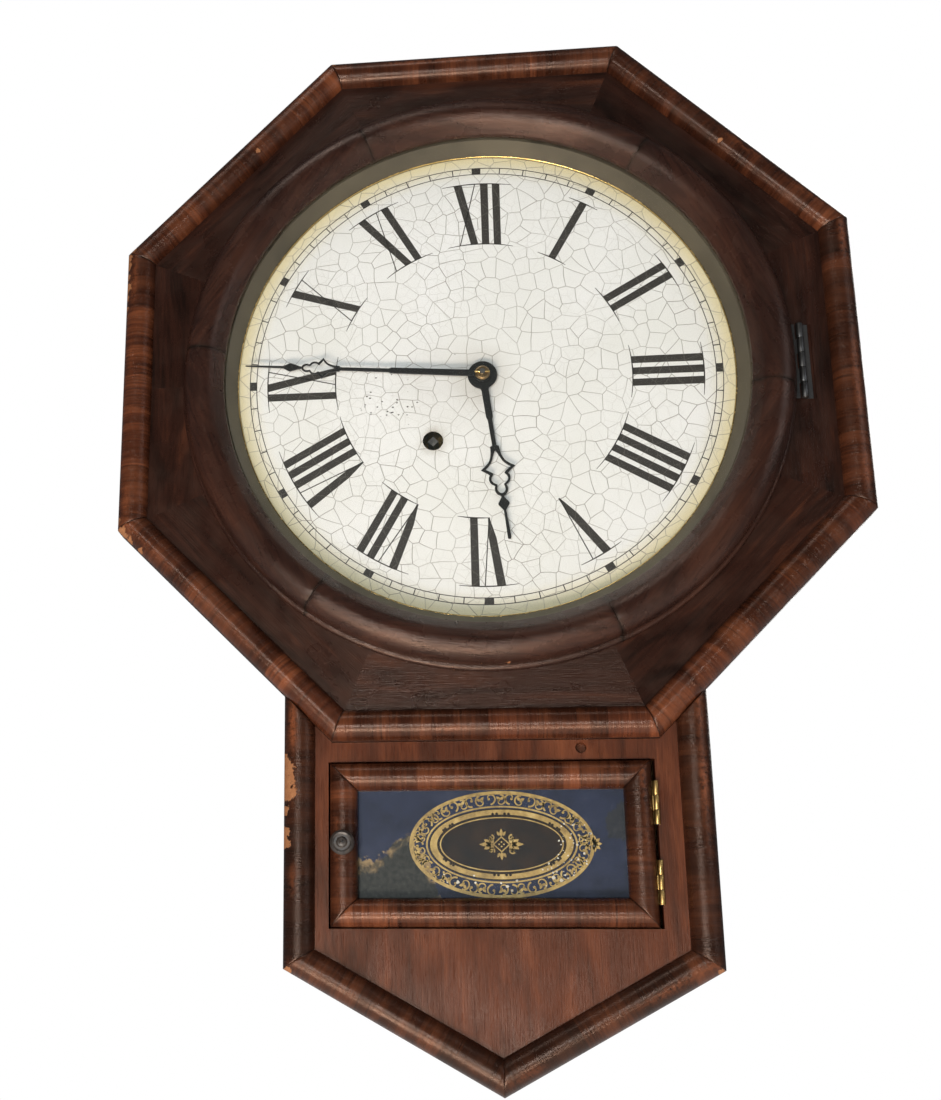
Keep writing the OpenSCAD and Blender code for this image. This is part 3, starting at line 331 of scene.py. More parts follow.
octagon_veneer = wood("octagon_veneer", sectors, *VENEER, 0.5, 0.30, 0.12, figure=1.4)
drop_veneer = wood("drop_veneer", along_z, *DROP_VENEER, 0.6, 0.36, 0.05, figure=0.8)
cross_banding = wood("cross_banding", grain, *BANDING, 0.9, 0.24, 0.14, sections=58.0, marked=True)
bezel_veneer = wood("bezel_veneer", grain, *DARK_ROSE, 0.9, 0.25, 0.14, marked=True)
case_wood = wood("case_wood", along_z, *CASE_WOOD, 0.8, 0.45, 0.15)
case_wood_across = wood("case_wood_across", along_x, *CASE_WOOD, 0.8, 0.45, 0.15)
back_wood = wood("back_wood", along_z, *PINE, 0.7, 0.72, 0.0)
block_wood = wood("block_wood", along_z, *PINE, 0.5, 0.7, 0.0)


# Metal, paint and glass


def metal(name, base, tarnish, rough, amount=0.5, grime=0.35):
    net = Net(name)
    p = net.millimetres()
    cloud = net.noise(p, 0.06, 5, 0.65)
    spots = net.step(net.noise(p, 0.5, 4, 0.7), 0.52, 0.68)
    scratch = net.noise(p, 1.0, 2, stretch=(0.4, 3.0, 3.0))
    stained = net.mix(net.step(cloud, 0.35, 0.7, 0, amount), base, tarnish)
    shade = net.mix(net.times(spots, grime), stained, [c * 0.4 for c in tarnish])
    patchy = net.step(cloud, 0.3, 0.7, rough - 0.08, rough + 0.14)
    worn = net.plus(patchy, net.times(spots, 0.2))
    normal = net.bump(net.plus(scratch, cloud), 0.12, 0.0001)
    return net.finish(shade, worn, normal, Metallic=1.0)


brass = metal("brass", (0.62, 0.42, 0.15), (0.26, 0.15, 0.06), 0.30)
bronze = metal("bronze", (0.34, 0.23, 0.11), (0.16, 0.11, 0.07), 0.34)
polished_brass = metal("polished_brass", (0.75, 0.54, 0.20), (0.42, 0.26, 0.09), 0.20, 0.35, 0.2)
dull_brass = metal("dull_brass", (0.115, 0.115, 0.115), (0.06, 0.055, 0.05), 0.42, 0.7)
steel = metal("steel", (0.33, 0.32, 0.30), (0.13, 0.11, 0.09), 0.34)
iron = metal("iron", (0.13, 0.12, 0.11), (0.07, 0.05, 0.035), 0.5, 0.7)
blued_steel = metal("blued_steel", (0.06, 0.08, 0.13), (0.05, 0.05, 0.06), 0.3)


def sight_ring_finish():
    net = Net("sight_ring_finish")
    p = net.millimetres()
    cloud = net.noise(p, 0.03, 5, 0.6)
    base = net.ramp(cloud, (0.3, (0.085, 0.070, 0.048)), (0.7, (0.14, 0.118, 0.078)))
    rough = net.step(cloud, 0.3, 0.7, 0.34, 0.5)
    return net.finish(base, rough, net.bump(cloud, 0.1), Metallic=0.45)


def hand_black():
    net = Net("hand_black")
    p = net.millimetres()
    rust = net.step(net.noise(p, 0.4, 5, 0.7), 0.56, 0.72)
    base = net.mix(net.times(rust, 0.5), (0.018, 0.018, 0.019), (0.07, 0.045, 0.03))
    return net.finish(base, net.step(rust, 0, 1, 0.38, 0.6), net.bump(rust, 0.1), Metallic=0.4)


def crackle(net):
    """(fine crack mask, wide crack mask, position) of the dial's old paint."""
    p = net.millimetres()
    flat = net.scaled(p, (1, 0, 1))
    warp = net.add("ShaderNodeTexNoise", {"Vector": flat, "Scale": 0.03, "Detail": 1}).outputs["Color"]
    centred = net.vector("SUBTRACT", warp, (0.5, 0.5, 0.5))
    bent = net.vector("ADD", flat, net.scaled(centred, (9, 0, 9)))
    main = net.cracks(bent, 0.10)
    second = net.cracks(net.vector("ADD", bent, (311, 0, 97)), 0.15)
    fade = net.noise(flat, 0.022, 3)
    wide = net.step(main, 0.007, 0.029, 1, 0)
    fine = net.times(net.step(second, 0.008, 0.034, 1, 0), net.step(fade, 0.38, 0.60))
    return fine, wide, flat


# The dial's lost flecks of paint and its dirty places: x, y, reach, amount
SPECKS = ((-58, -9, 21, 1.0), (-44, -20, 12, 1.0), (-17, 15, 3.2, 1.6), (-11, -54, 4, 1.6))
GRIME = ((-30, -39, 12, 0.55), (0, 0, 26, 0.18), (-20, -4, 40, 0.10))


def dial_paint():
    net = Net("dial_paint")
    fine, wide, p = crackle(net)
    cloud = net.noise(p, 0.012, 4, 0.6)
    middle = net.ramp(cloud, (0.3, (0.82, 0.84, 0.80)), (0.7, (0.90, 0.92, 0.91)))
    rim = net.step(net.distance(p, (0, 0, CENTRE_Z / MM)), TRACK_R - 8, DIAL_R - 5)
    base = net.mix(net.times(rim, 0.8), middle, (0.74, 0.65, 0.33))
    base = net.mix(net.times(fine, 0.28), base, (0.34, 0.33, 0.28))
    strength = net.step(net.noise(p, 0.03, 3), 0.3, 0.7, 0.45, 0.90)
    base = net.mix(net.times(wide, strength), base, (0.20, 0.18, 0.15))
    squeezed = net.scaled(p, (0.32, 1, 0.46))
    spots = net.add("ShaderNodeTexVoronoi", {"Vector": squeezed, "Scale": 1.0})
    dots = net.step(spots.outputs["Distance"], 0.16, 0.24, 1, 0)
    chosen = net.step(net.part(spots.outputs["Color"], 0), 0.52, 0.56)
    for x, z, reach, amount in SPECKS:
        far = net.distance(p, (x, 0, CENTRE_Z / MM + z))
        near = net.step(far, reach * 0.5, reach, 1, 0)
        loss = net.times(net.times(dots, chosen), near, True)
        base = net.mix(net.times(loss, amount, True), base, (0.03, 0.027, 0.024))
    for x, z, reach, amount in GRIME:
        far = net.distance(p, (x, 0, CENTRE_Z / MM + z))
        grimy = net.plus(far, net.times(net.noise(p, 0.15), 8))
        halo = net.step(grimy, reach * 0.5, reach + 4, amount, 0)
        base = net.mix(halo, base, (0.30, 0.25, 0.16))
    height = net.minus(net.times(cloud, 0.5), net.plus(wide, fine))
    return net.finish(base, 0.42, net.bump(height, 0.35, 0.0003), Coat_Weight=0.15, Coat_Roughness=0.3)


def dial_ink():
    net = Net("dial_ink")
    _, wide, p = crackle(net)
    brushed = net.noise(p, 0.9, 4, 0.7)
    base = net.ramp(brushed, (0.3, (0.024, 0.021, 0.018)), (0.75, (0.046, 0.041, 0.036)))
    base = net.mix(net.times(wide, 0.16), base, (0.35, 0.33, 0.29))
    return net.finish(base, 0.5, net.bump(brushed, 0.15))


def glass(name, alpha):
    net = Net(name)
    p = net.millimetres()
    smear = net.step(net.noise(p, 0.02, 4), 0.35, 0.7, 0.03, 0.12)
    return net.finish((0.10, 0.12, 0.11), smear, Alpha=alpha, Specular_IOR_Level=1.0)


clear_glass = glass("clear_glass", 0.05)
ring_finish = sight_ring_finish()
black_hand = hand_black()
paint = dial_paint()
ink = dial_ink()


# Meshes


def link(name, data):
    """A new object in the scene."""
    thing = bpy.data.objects.new(name, data)
    bpy.context.collection.objects.link(thing)
    return thing


def show(name, mesh, body, material, replaces, smooth):
    """Puts a mesh in the scene as a piece that rides on a CAD body."""
    piece = link(name, mesh)
    mesh.materials.append(material)
    if smooth:
        mesh.shade_smooth()
        mesh.set_sharp_from_angle(angle=radians(smooth))
    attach(piece, body)
    if replaces:
        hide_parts(*replaces)


def make(name, vertices, faces, body, material, replaces=(), smooth=0, grain_at=None, marks=None):
    """A mesh piece from clock millimetres, riding on a CAD body. smooth is the angle, in
    degrees, past which an edge stays sharp; grain_at and marks feed the wood's material."""
    mesh = bpy.data.meshes.new(name)
    mesh.from_pydata([place(*v) for v in vertices], [], faces)
    mesh.validate()
    for key, values in (("grain", grain_at), ("marks", marks)):
        if values is not None:
            layer = mesh.attributes.new(key, "FLOAT_VECTOR", "POINT")
            layer.data.foreach_set("vector", [c for v in values for c in v])
    show(name, mesh, body, material, replaces, smooth)


def tube_faces(rings, size, closed):
    """Quads of a swept profile; the ends are capped when the sweep isn't closed."""
    faces = []
    for i in range(rings if closed else rings - 1):
        for j in range(size):
            k = (j + 1) % size
            n = (i + 1) % rings
            faces.append((i * size + j, i * size + k, n * size + k, n * size + j))
    if not closed:
        faces.append(tuple(range(size - 1, -1, -1)))
        faces.append(tuple((rings - 1) * size + j for j in range(size)))
    return faces


def arc(x, y, radius, start, end, steps):
    """Points of an arc, angles in degrees."""
    points = []
    for i in range(steps + 1):
        a = radians(start + (end - start) * i / steps)
        points.append((x + radius * cos(a), y + radius * sin(a)))
    return points


def half_round(width, height, steps=22):
    """(inward distance, height) across a half-round moulding from its outer edge."""
    radius = (width * width / 4 + height * height) / (2 * height)
    half = degrees(asin(min(1.0, width / 2 / radius)))
    return arc(width / 2, height - radius, radius, 90 + half, 90 - half, steps)


def spread(length, pitch):
    """Stations along a rail, crowded near its mitred ends."""
    ends = [0.0, 0.25, 0.6, 1.2, 2.2, 3.6]
    count = max(4, int((length - 2 * ends[-1]) / pitch))
    middle = [ends[-1] + (length - 2 * ends[-1]) * i / count for i in range(1, count)]
    return [e / length for e in ends + middle] + [1 - e / length for e in reversed(ends)]


def uneven(x, y, z):
    return noise(Vector((x, y, z)))


def rail(
    name, body, start, end, inward, mitres, base_z, profile, seed,
    under=(), chips=(), replaces=(), shade=0.0,
):
    """A mitred rail. start and end are its outer corners; mitres are the tangents of the
    cuts: how far each end moves along the rail for each millimetre inward. chips are
    (along, across, reach) and shade is painted shade: how far the whole rail is darkened."""
    ax, ay = start
    along = (end[0] - ax, end[1] - ay)
    length = hypot(*along)
    ux, uy = along[0] / length, along[1] / length
    outline = [*profile, *under]
    stations = spread(length, 2.2)
    arcs = [0.0]
    for (v0, h0), (v1, h1) in zip(outline, outline[1:]):
        arcs.append(arcs[-1] + hypot(v1 - v0, h1 - h0))
    width = max(v for v, h in profile)
    crest = max(h for v, h in profile)
    dice = random.Random(seed)
    offset = [dice.uniform(-400, 400) for _ in range(3)]
    vertices, where, marks = [], [], []
    for t in stations:
        for (v, h), s in zip(outline, arcs):
            first = JOINT_GAP / 2 + mitres[0] * v
            last = length - JOINT_GAP / 2 - mitres[1] * v
            a = first + (last - first) * t
            near = min(a - first, last - a)
            on_top = h > 0.05
            worn = uneven(a * 0.03, v * 0.05, seed) if on_top else 0.0
            dip = 0.35 * exp(-near / 0.5) if on_top else 0.0
            z = base_z + h - (dip + max(0.0, worn) * 0.12) * (h / crest if on_top else 0)
            vertices.append((ax + ux * a + inward[0] * v, ay + uy * a + inward[1] * v, z))
            where.append((s + offset[0], a + offset[1], offset[2] + seed * 50))
            chip = max(0.0, uneven(a * 0.09, v * 0.12, seed + 9.5)) * 0.3
            for along_at, across_at, reach in chips:
                gap = hypot(a - along_at, (v - across_at) * 0.8) / reach
                chip = max(chip, 0.95 - 0.5 * gap)
            rub = max(0.0, 1 - abs(v / width - 0.32) / 0.2) * max(0.0, worn) * 1.6
            # dirt in the mitre joints, and shade as painted shade over the whole rail
            dirt_and_shade = max(shade, 0.9 * exp(-near / 0.45))
            marks.append((chip if on_top or v < 0.5 else 0.0, dirt_and_shade, min(1, rub)))
    faces = tube_faces(len(stations), len(outline), False)
    make(name, vertices, faces, body, cross_banding, replaces, 50, where, marks)


# The rails of the octagon, the drop and the door


def sight_edge():
    """The thin bright rim where the sight ring meets the dial."""
    outline = arc(SIGHT_EDGE_R + 0.65, sight.z0 + 0.65, 0.6, 0, 330, 11)
    steps = 240
    vertices = [(r * cos(a), r * sin(a), z) for a in turns(steps) for r, z in outline]
    faces = tube_faces(steps, len(outline), True)
    make("sight_edge", vertices, faces, "bezel_door", polished_brass, smooth=60)


# chips by side, and the painted shade of each side (darker on the right), counted clockwise from the top
OCTAGON_CHIPS = {
    0: [(2, 1, 2.5)],
    5: [(176, 0, 3.5), (169, 0, 2.5), (160, 0, 2)],
    6: [(176, 0, 3), (170, 0, 3.2), (163, 0, 2.6), (156, 0, 3.4), (149, 0, 2.4), (142, 0, 2), (5, 0, 2.5)],
    7: [(104, 12, 1.5), (4, 0, 3)],
    1: [(92, 12, 1.5)],
}
OCTAGON_SHADES = (0.10, 0.35, 0.50, 0.20, 0.0, 0.15, 0.15, 0.20)
DROP_CHIPS = [(36, 0, 3), (42, 1, 5), (49, 0, 6), (56, 3, 4.5), (65, 0, 3), (77, 0, 3.6), (83, 1, 3)]


def octagon_rails():
    profile = half_round(MOULDING_W, octagon.z1 - octagon.z0)
    cut = tan(radians(22.5))
    corner = octagon.x1 * cut
    for i, shade in enumerate(OCTAGON_SHADES):
        turn = Matrix.Rotation(radians(-45 * i), 2)
        start = turn @ Vector((-corner, octagon.x1))
        end = turn @ Vector((corner, octagon.x1))
        rail(
            f"octagon_rail_{i + 1}", "case", start, end, turn @ Vector((0, -1)), (cut, cut), octagon.z0,
            profile, 11 + i, chips=OCTAGON_CHIPS.get(i, ()), replaces=() if i else ("octagon_mouldings",),
            shade=shade,
        )


def drop_rails():
    profile = half_round(MOULDING_W, drop.z1 - drop.z0)
    half = drop.x1
    slope = atan2(POINT_RISE, half)
    cut = tan((pi / 2 - slope) / 2)
    top_y = half - (octagon.x1 + JOINT_GAP) * sqrt(2)
    sides = ((-1, "left", DROP_CHIPS, 2.5, ("drop_mouldings",)), (1, "right", (), 2, ()))
    for side, name, chips, foot_reach, replaces in sides:
        corner = (side * half, drop.y0 + POINT_RISE)
        # shade=0.65 and 0.6 darken the drop's rails all over: painted shade
        rail(
            f"drop_rail_{name}", "case", (side * half, top_y), corner, (-side, 0), (1, cut), drop.z0, profile,
            31 + side, chips=chips, replaces=replaces, shade=0.65,
        )
        inward = (-side * sin(slope), cos(slope))
        rail(
            f"drop_rail_{name}_foot", "case", corner, (0, drop.y0), inward, (cut, tan(slope)), drop.z0,
            profile, 41 + side, chips=[(3, 0, foot_reach)], shade=0.6,
        )


def door_frame():
    top = drop.z0
    profile = half_round(RAIL_W, door.z1 - top)
    front, back = tablet.z1 - top, door.z0 - top
    under = [(RAIL_W, front), (RAIL_W - RAIL_SEAT, front), (RAIL_W - RAIL_SEAT, back), (0, back)]
    corners = [(door.x0, door.y1), (door.x1, door.y1), (door.x1, door.y0), (door.x0, door.y0)]
    # each side's last value is its painted shade, darker on the right
    sides = (("top", (0, -1), 0.1), ("right", (-1, 0), 0.4), ("bottom", (0, 1), 0.15), ("left", (1, 0), 0.3))
    for i, (name, inward, shade) in enumerate(sides):
        rail(
            f"door_rail_{name}", "lower_door", corners[i], corners[(i + 1) % 4], inward, (1, 1), top, profile,
            61 + i, under=under, replaces=() if i else ("door_rails",), shade=shade,
        )


# The bezel


LIP_H = 9.0
BEAD_R = 2.25
SEGMENTS = 6
FIRST_JOINT = -6


def bezel_profile():
    """(radius, height above the foot) once round the bezel's section."""
    inner = bezel.x1 - BEZEL_W
    seat = inner + BEZEL_SEAT
    roll_x = seat + 7.9
    roll_y = bezel.z1 - bezel.z0 - ROLL_R
    side = roll_x + ROLL_R - 1.4
    under = -degrees(acos((side - roll_x) / ROLL_R))
    lip = [(inner + 0.2, LIP_H), (inner, 9.3), (inner, 11.9), (inner + 0.35, 12.5)]
    roll = arc(roll_x, roll_y, ROLL_R, 142, under, 34)
    foot_y = roll_y + ROLL_R * sin(radians(under))
    bead = arc(bezel.x1 - BEAD_R, BEAD_R, BEAD_R, 90, -80, 10)
    return lip + roll + [(side, max(2 * BEAD_R, foot_y))] + bead + [(seat, 0.0), (seat, LIP_H)]


def bezel_ring():
    outline = bezel_profile()
    steps = 72
    faces = tube_faces(steps + 1, len(outline), False)
    gap = degrees(JOINT_GAP / 2 / bezel.x1)
    sweep = 360 / SEGMENTS - 2 * gap
    for n in range(SEGMENTS):
        first = FIRST_JOINT + 360 / SEGMENTS * n + gap
        dice = random.Random(90 + n)
        shift = [dice.uniform(-300, 300) for _ in range(3)]
        middle = radians(first + sweep / 2)
        vertices, where, marks = [], [], []
        for i in range(steps + 1):
            t = i / steps
            a = radians(first + sweep * t)
            near = min(t, 1 - t) * radians(sweep) * 165
            for r, h in outline:
                dip = 0.0
                if h > LIP_H:
                    wave = 0.12 * uneven(cos(a) * 4, sin(a) * 4, h * 0.05)
                    dip = min(0.0, wave - 0.25 * exp(-near / 0.6))
                x, y = (r + dip) * cos(a), (r + dip) * sin(a)
                vertices.append((x, y, bezel.z0 + h + dip))
                across = x * sin(middle) - y * cos(middle)
                out = x * cos(middle) + y * sin(middle)
                where.append((across + shift[0], out + shift[1], h + shift[2]))
                worn = uneven(x * 0.03, y * 0.03, 7.0)
                pitted = max(0.0, uneven(x * 0.15, y * 0.15, h * 0.2))
                crown = max(0.0, 1 - abs(r - 164) / 6) * max(0.0, worn)
                marks.append((pitted * (0.6 if r > 175 else 0.3), 0.95 * exp(-near / 0.5), crown))
        make(
            f"bezel_segment_{n + 1}", vertices, faces, "bezel_door", bezel_veneer,
            () if n else ("bezel_segments",), 42, where, marks,
        )


# Dial numerals and minute track


class Sheet:
    """Thin closed plates that share one mesh, such as paint on the dial."""

    def __init__(self, low, high):
        self.low, self.high = low, high
        self.vertices, self.faces = [], []

    def plate(self, outline):
        """A flat plate. The outline may run either way round."""
        area = sum(a[0] * b[1] - b[0] * a[1] for a, b in zip(outline, outline[1:] + outline[:1]))
        if area < 0:
            outline = outline[::-1]
        n, start = len(outline), len(self.vertices)
        self.vertices += [(x, y, self.high) for x, y in outline]
        self.vertices += [(x, y, self.low) for x, y in outline]
        self.faces.append(tuple(range(start, start + n)))
        self.faces.append(tuple(range(start + 2 * n - 1, start + n - 1, -1)))
        for i in range(n):
            k = (i + 1) % n
            self.faces.append((start + k, start + i, start + n + i, start + n + k))

    def band(self, inner, outer, closed=True):
        """A strip between two matching point lists."""
        start = len(self.vertices)
        for (x, y), (u, v) in zip(inner, outer):
            self.vertices += [(u, v, self.high), (x, y, self.high), (x, y, self.low), (u, v, self.low)]
        self.faces += [tuple(start + k for k in face) for face in tube_faces(len(inner), 4, closed)]

    def stroke(self, points, width, closed=False):
        """A line of that width through the points. width may be a list."""
        n = len(points)
        widths = width if isinstance(width, list) else [width] * n
        left, right = [], []
        for i, (x, y) in enumerate(points):
            before = points[(i - 1) % n] if closed or i else points[0]
            after = points[(i + 1) % n] if closed or i < n - 1 else points[-1]
            dx, dy = after[0] - before[0], after[1] - before[1]
            size = hypot(dx, dy) or 1.0
            half = widths[i] / 2
            left.append((x - dy / size * half, y + dx / size * half))
            right.append((x + dy / size * half, y - dx / size * half))
        self.band(left, right, closed)

    def disc(self, x, y, radius, sides=8):
        self.plate([(x + radius * cos(a), y + radius * sin(a)) for a in turns(sides)])

    def build(self, name, body, material, slot):
        make(name, self.vertices, self.faces, body, material)


def circle(radius, steps=360):
    return [polar(radius, 360 * i / steps) for i in range(steps)][::-1]


def minute_track():
    sheet = Sheet(dial.z1 - 0.02, dial.z1 + 0.05)
    inner, outer, hair = TRACK_R - 2.0, TRACK_R + 2.0, 0.5
    for radius in (inner, outer):
        sheet.band(circle(radius - hair / 2), circle(radius + hair / 2))
    for minute in range(60):
        angle = 6 * minute
        wide = 5.4 if minute % 5 == 0 else 0.6
        half = degrees(wide / 2 / TRACK_R)
        low, high = inner + hair / 2 + 0.01, outer - hair / 2 - 0.01
        edges = (low, -half), (low, half), (high, half), (high, -half)
        sheet.plate([polar(radius, angle + turn) for radius, turn in edges])
    sheet.build("minute_track", "case", ink, "dial_paint")


NUMERAL_IN, NUMERAL_OUT = 87.7, 128.7
BAR, HAIR = 4.5, 0.62


def numeral_lines(text):
    """The strokes of a numeral as (across outside, across inside, width outside, width
    inside, kind), and the stretches that its outer and inner serifs span."""
    strokes, inner = [], []
    at, previous = 0.0, ""
    pitch = {"II": 7.2, "XI": 11.2, "IX": 11.2, "VI": 10.2, "IV": 10.2}
    for letter in text:
        at += pitch.get(previous + letter, 0.0) if previous else 0.0
        if letter == "I":
            strokes.append((at, at, BAR + 0.2, BAR - 0.1, "bar"))
            inner.append((at - BAR / 2, at + BAR / 2))
        elif letter == "X":
            strokes.append((at - 4.9, at + 4.5, BAR + 0.5, BAR, "bar"))
            strokes.append((at + 5.6, at - 4.2, HAIR, HAIR, "hair"))
            inner.append((at - 4.4, at + 6.6))
        else:
            strokes.append((at - 4.6, at + 1.6, BAR + 0.5, 0.9, "wedge"))
            strokes.append((at + 4.8, at + 1.4, HAIR, HAIR, "hair"))
        previous = letter
    left, right = min(s[0] - s[2] / 2 for s in strokes), max(s[0] + s[2] / 2 for s in strokes)
    low = min(left, min(s[1] - s[3] / 2 for s in strokes))
    high = max(right, max(s[1] + s[3] / 2 for s in strokes))
    middle = (low + high) / 2
    outer = (left - middle, right - middle)
    moved = [(a - middle, b - middle, wa, wb, kind) for a, b, wa, wb, kind in strokes]
    serif = (min(a for a, b in inner) - middle, max(b for a, b in inner) - middle) if inner else None
    return moved, outer, serif


def numerals():
    sheet = Sheet(dial.z1 - 0.02, dial.z1 + 0.06)
    names = ["XII", "I", "II", "III", "IIII", "V", "VI", "VII", "VIII", "IX", "X", "XI"]

    def spot(across, radius, angle):
        return polar(radius, angle + degrees(across / radius))

    for hour, text in enumerate(names):
        angle = 30 * hour
        strokes, outer, serif = numeral_lines(text)
        for out, inn, wide_out, wide_in, kind in strokes:
            top = [spot(out - wide_out / 2, NUMERAL_OUT, angle), spot(out + wide_out / 2, NUMERAL_OUT, angle)]
            foot = [spot(inn + wide_in / 2, NUMERAL_IN, angle), spot(inn - wide_in / 2, NUMERAL_IN, angle)]
            if kind == "wedge":
                share = 0.3
                radius = NUMERAL_IN + share * (NUMERAL_OUT - NUMERAL_IN)
                across = inn + share * (out - inn)
                right, left = spot(across + BAR / 2, radius, angle), spot(across - BAR / 2, radius, angle)
                sheet.plate(top + [right] + foot + [left])
            else:
                sheet.plate(top + foot)
        hang = 7.2
        for span, radius in ((outer, NUMERAL_OUT), (serif, NUMERAL_IN)):
            if span:
                steps = 14
                reach = span[1] - span[0] + 2 * hang
                points = [spot(span[0] - hang + reach * i / steps, radius, angle) for i in range(steps + 1)]
                widths = [HAIR * (0.45 + 0.75 * sin(pi * i / steps)) for i in range(steps + 1)]
                sheet.stroke(points, widths)
    sheet.build("numerals", "case", ink, "dial_paint")


# Hands

# half of the pierced ornament, outside and opening: (share of length, share of half width)
ORNAMENT = [
    (0.00, 0.26), (0.03, 0.26), (0.16, 0.31), (0.29, 0.46), (0.38, 0.74), (0.44, 1.00), (0.49, 0.80),
    (0.56, 0.55), (0.60, 0.60), (0.67, 0.62), (0.74, 0.53), (0.79, 0.34), (0.84, 0.38), (0.91, 0.36),
    (0.97, 0.24), (1.00, 0.09),
]
OPENING = [
    (0.09, 0.03), (0.20, 0.18), (0.31, 0.33), (0.40, 0.58), (0.44, 0.76), (0.48, 0.56), (0.54, 0.33),
    (0.575, 0.37), (0.62, 0.46), (0.68, 0.47), (0.73, 0.37), (0.77, 0.20), (0.82, 0.22), (0.88, 0.23),
    (0.93, 0.14), (0.95, 0.02),
]


def smooth_line(points, steps=4):
    """Catmull-Rom points through an open line."""
    line = []
    for i in range(len(points) - 1):
        p0, p1, p2, p3 = points[max(0, i - 1)], points[i], points[i + 1], points[min(len(points) - 1, i + 2)]
        for k in range(steps):
            t = k / steps
            line.append(tuple(
                0.5 * (2 * b + (c - a) * t + (2 * a - 5 * b + 4 * c - d) * t * t)
                + 0.5 * (3 * b - a - 3 * c + d) * t ** 3
                for a, b, c, d in zip(p0, p1, p2, p3)
            ))
    return line + [points[-1]]


def hand_outline(hub, stem, ornament, diamond, tip):
    """(along, half width) of a hand's outside and of its opening. ornament is (start, end,
    half width) and diamond is (middle, length, half width)."""
    start, end, half = ornament
    ornament_side = [(start + (end - start) * r, w * half) for r, w in ORNAMENT]
    opening = [(start + (end - start) * r, w * half) for r, w in OPENING]
    around = [radians(a) for a in range(180, 14, -6)]
    side = [(hub * cos(a), hub * sin(a)) for a in around] + stem
    side += smooth_line(ornament_side[:6]) + smooth_line(ornament_side[5:])[1:]
    side += [(end + 0.8, 0.75), (diamond[0] - 0.4, diamond[2]), (diamond[0] + 0.4, diamond[2])]
    side += [(diamond[0] + diamond[1], 0.7), *tip]
    return side, smooth_line(opening[:5]) + smooth_line(opening[4:])[1:]


def hand(node, body, angle, *shape):
    """A pierced hand in place of the CAD's: a filled outline with one opening, its edges
    slightly rounded."""
    name = node + "_pierced"
    box = Extent(node)
    bevel = 0.12
    curve = bpy.data.curves.new(name, "CURVE")
    curve.dimensions = "2D"
    curve.fill_mode = "BOTH"
    curve.extrude = (box.z1 - box.z0) / 2 * MM - bevel * MM
    curve.bevel_depth = bevel * MM
    curve.bevel_resolution = 1
    curve.offset = -bevel * MM
    for line in hand_outline(*shape):
        ring = [(r, w) for r, w in line] + [(r, -w) for r, w in reversed(line)]
        spline = curve.splines.new("POLY")
        spline.points.add(len(ring) - 1)
        for point, (r, w) in zip(spline.points, ring):
            point.co = (r * MM, w * MM, 0, 1)
        spline.use_cyclic_u = True
    flat = link(name + "_shape", curve)
    bpy.context.view_layer.update()
    mesh = bpy.data.meshes.new_from_object(flat.evaluated_get(bpy.context.evaluated_depsgraph_get()))
    bpy.data.objects.remove(flat)
    turn = Matrix.Rotation(radians(90 - angle), 4, "Z")
    stand = Matrix.Rotation(radians(90), 4, "X")
    mesh.transform(Matrix.Translation(place(0, 0, (box.z0 + box.z1) / 2)) @ stand @ turn)
    mesh.materials.clear()
    show(name, mesh, body, black_hand, (node,), 35)


def hands():
    hour_stem = [(9.5, 2.1), (27, 1.95), (28.5, 1.3), (45.0, 1.2)]
    hour_tip = [(101.6, 1.0), (102.4, 0.7)]
    hour_ornament, hour_diamond = (45.6, 76.2, 10.0), (81, 4.0, 3.2)
    hand("hour_hand", "hour_work", SHOWN_MINUTES / 2, 8.7, hour_stem, hour_ornament, hour_diamond, hour_tip)
    minute_stem = [(6, 2.0), (54, 1.8), (55.5, 1.15), (84.5, 1.0)]
    minute_tip = [(137, 0.45), (142, 0.3)]
    ornament, diamond = (85, 108, 6.7), (115, 4.0, 2.5)
    hand("minute_hand", "centre", SHOWN_MINUTES % 60 * 6, 5.2, minute_stem, ornament, diamond, minute_tip)


# The painted tablet

OVAL = (2.5, -273.5)
LOSS_TOP, LOSS_PEAK = -283, -267
STAIN = (69, -262)
PAINT_GAP = 0.02


def on_oval(a, b, turn):
    """A point of the ellipse round the tablet's middle, with half axes a and b."""
    return OVAL[0] + a * cos(turn), OVAL[1] + b * sin(turn)


def ellipse(a, b, steps=160):
    return [on_oval(a, b, turn) for turn in turns(steps)]


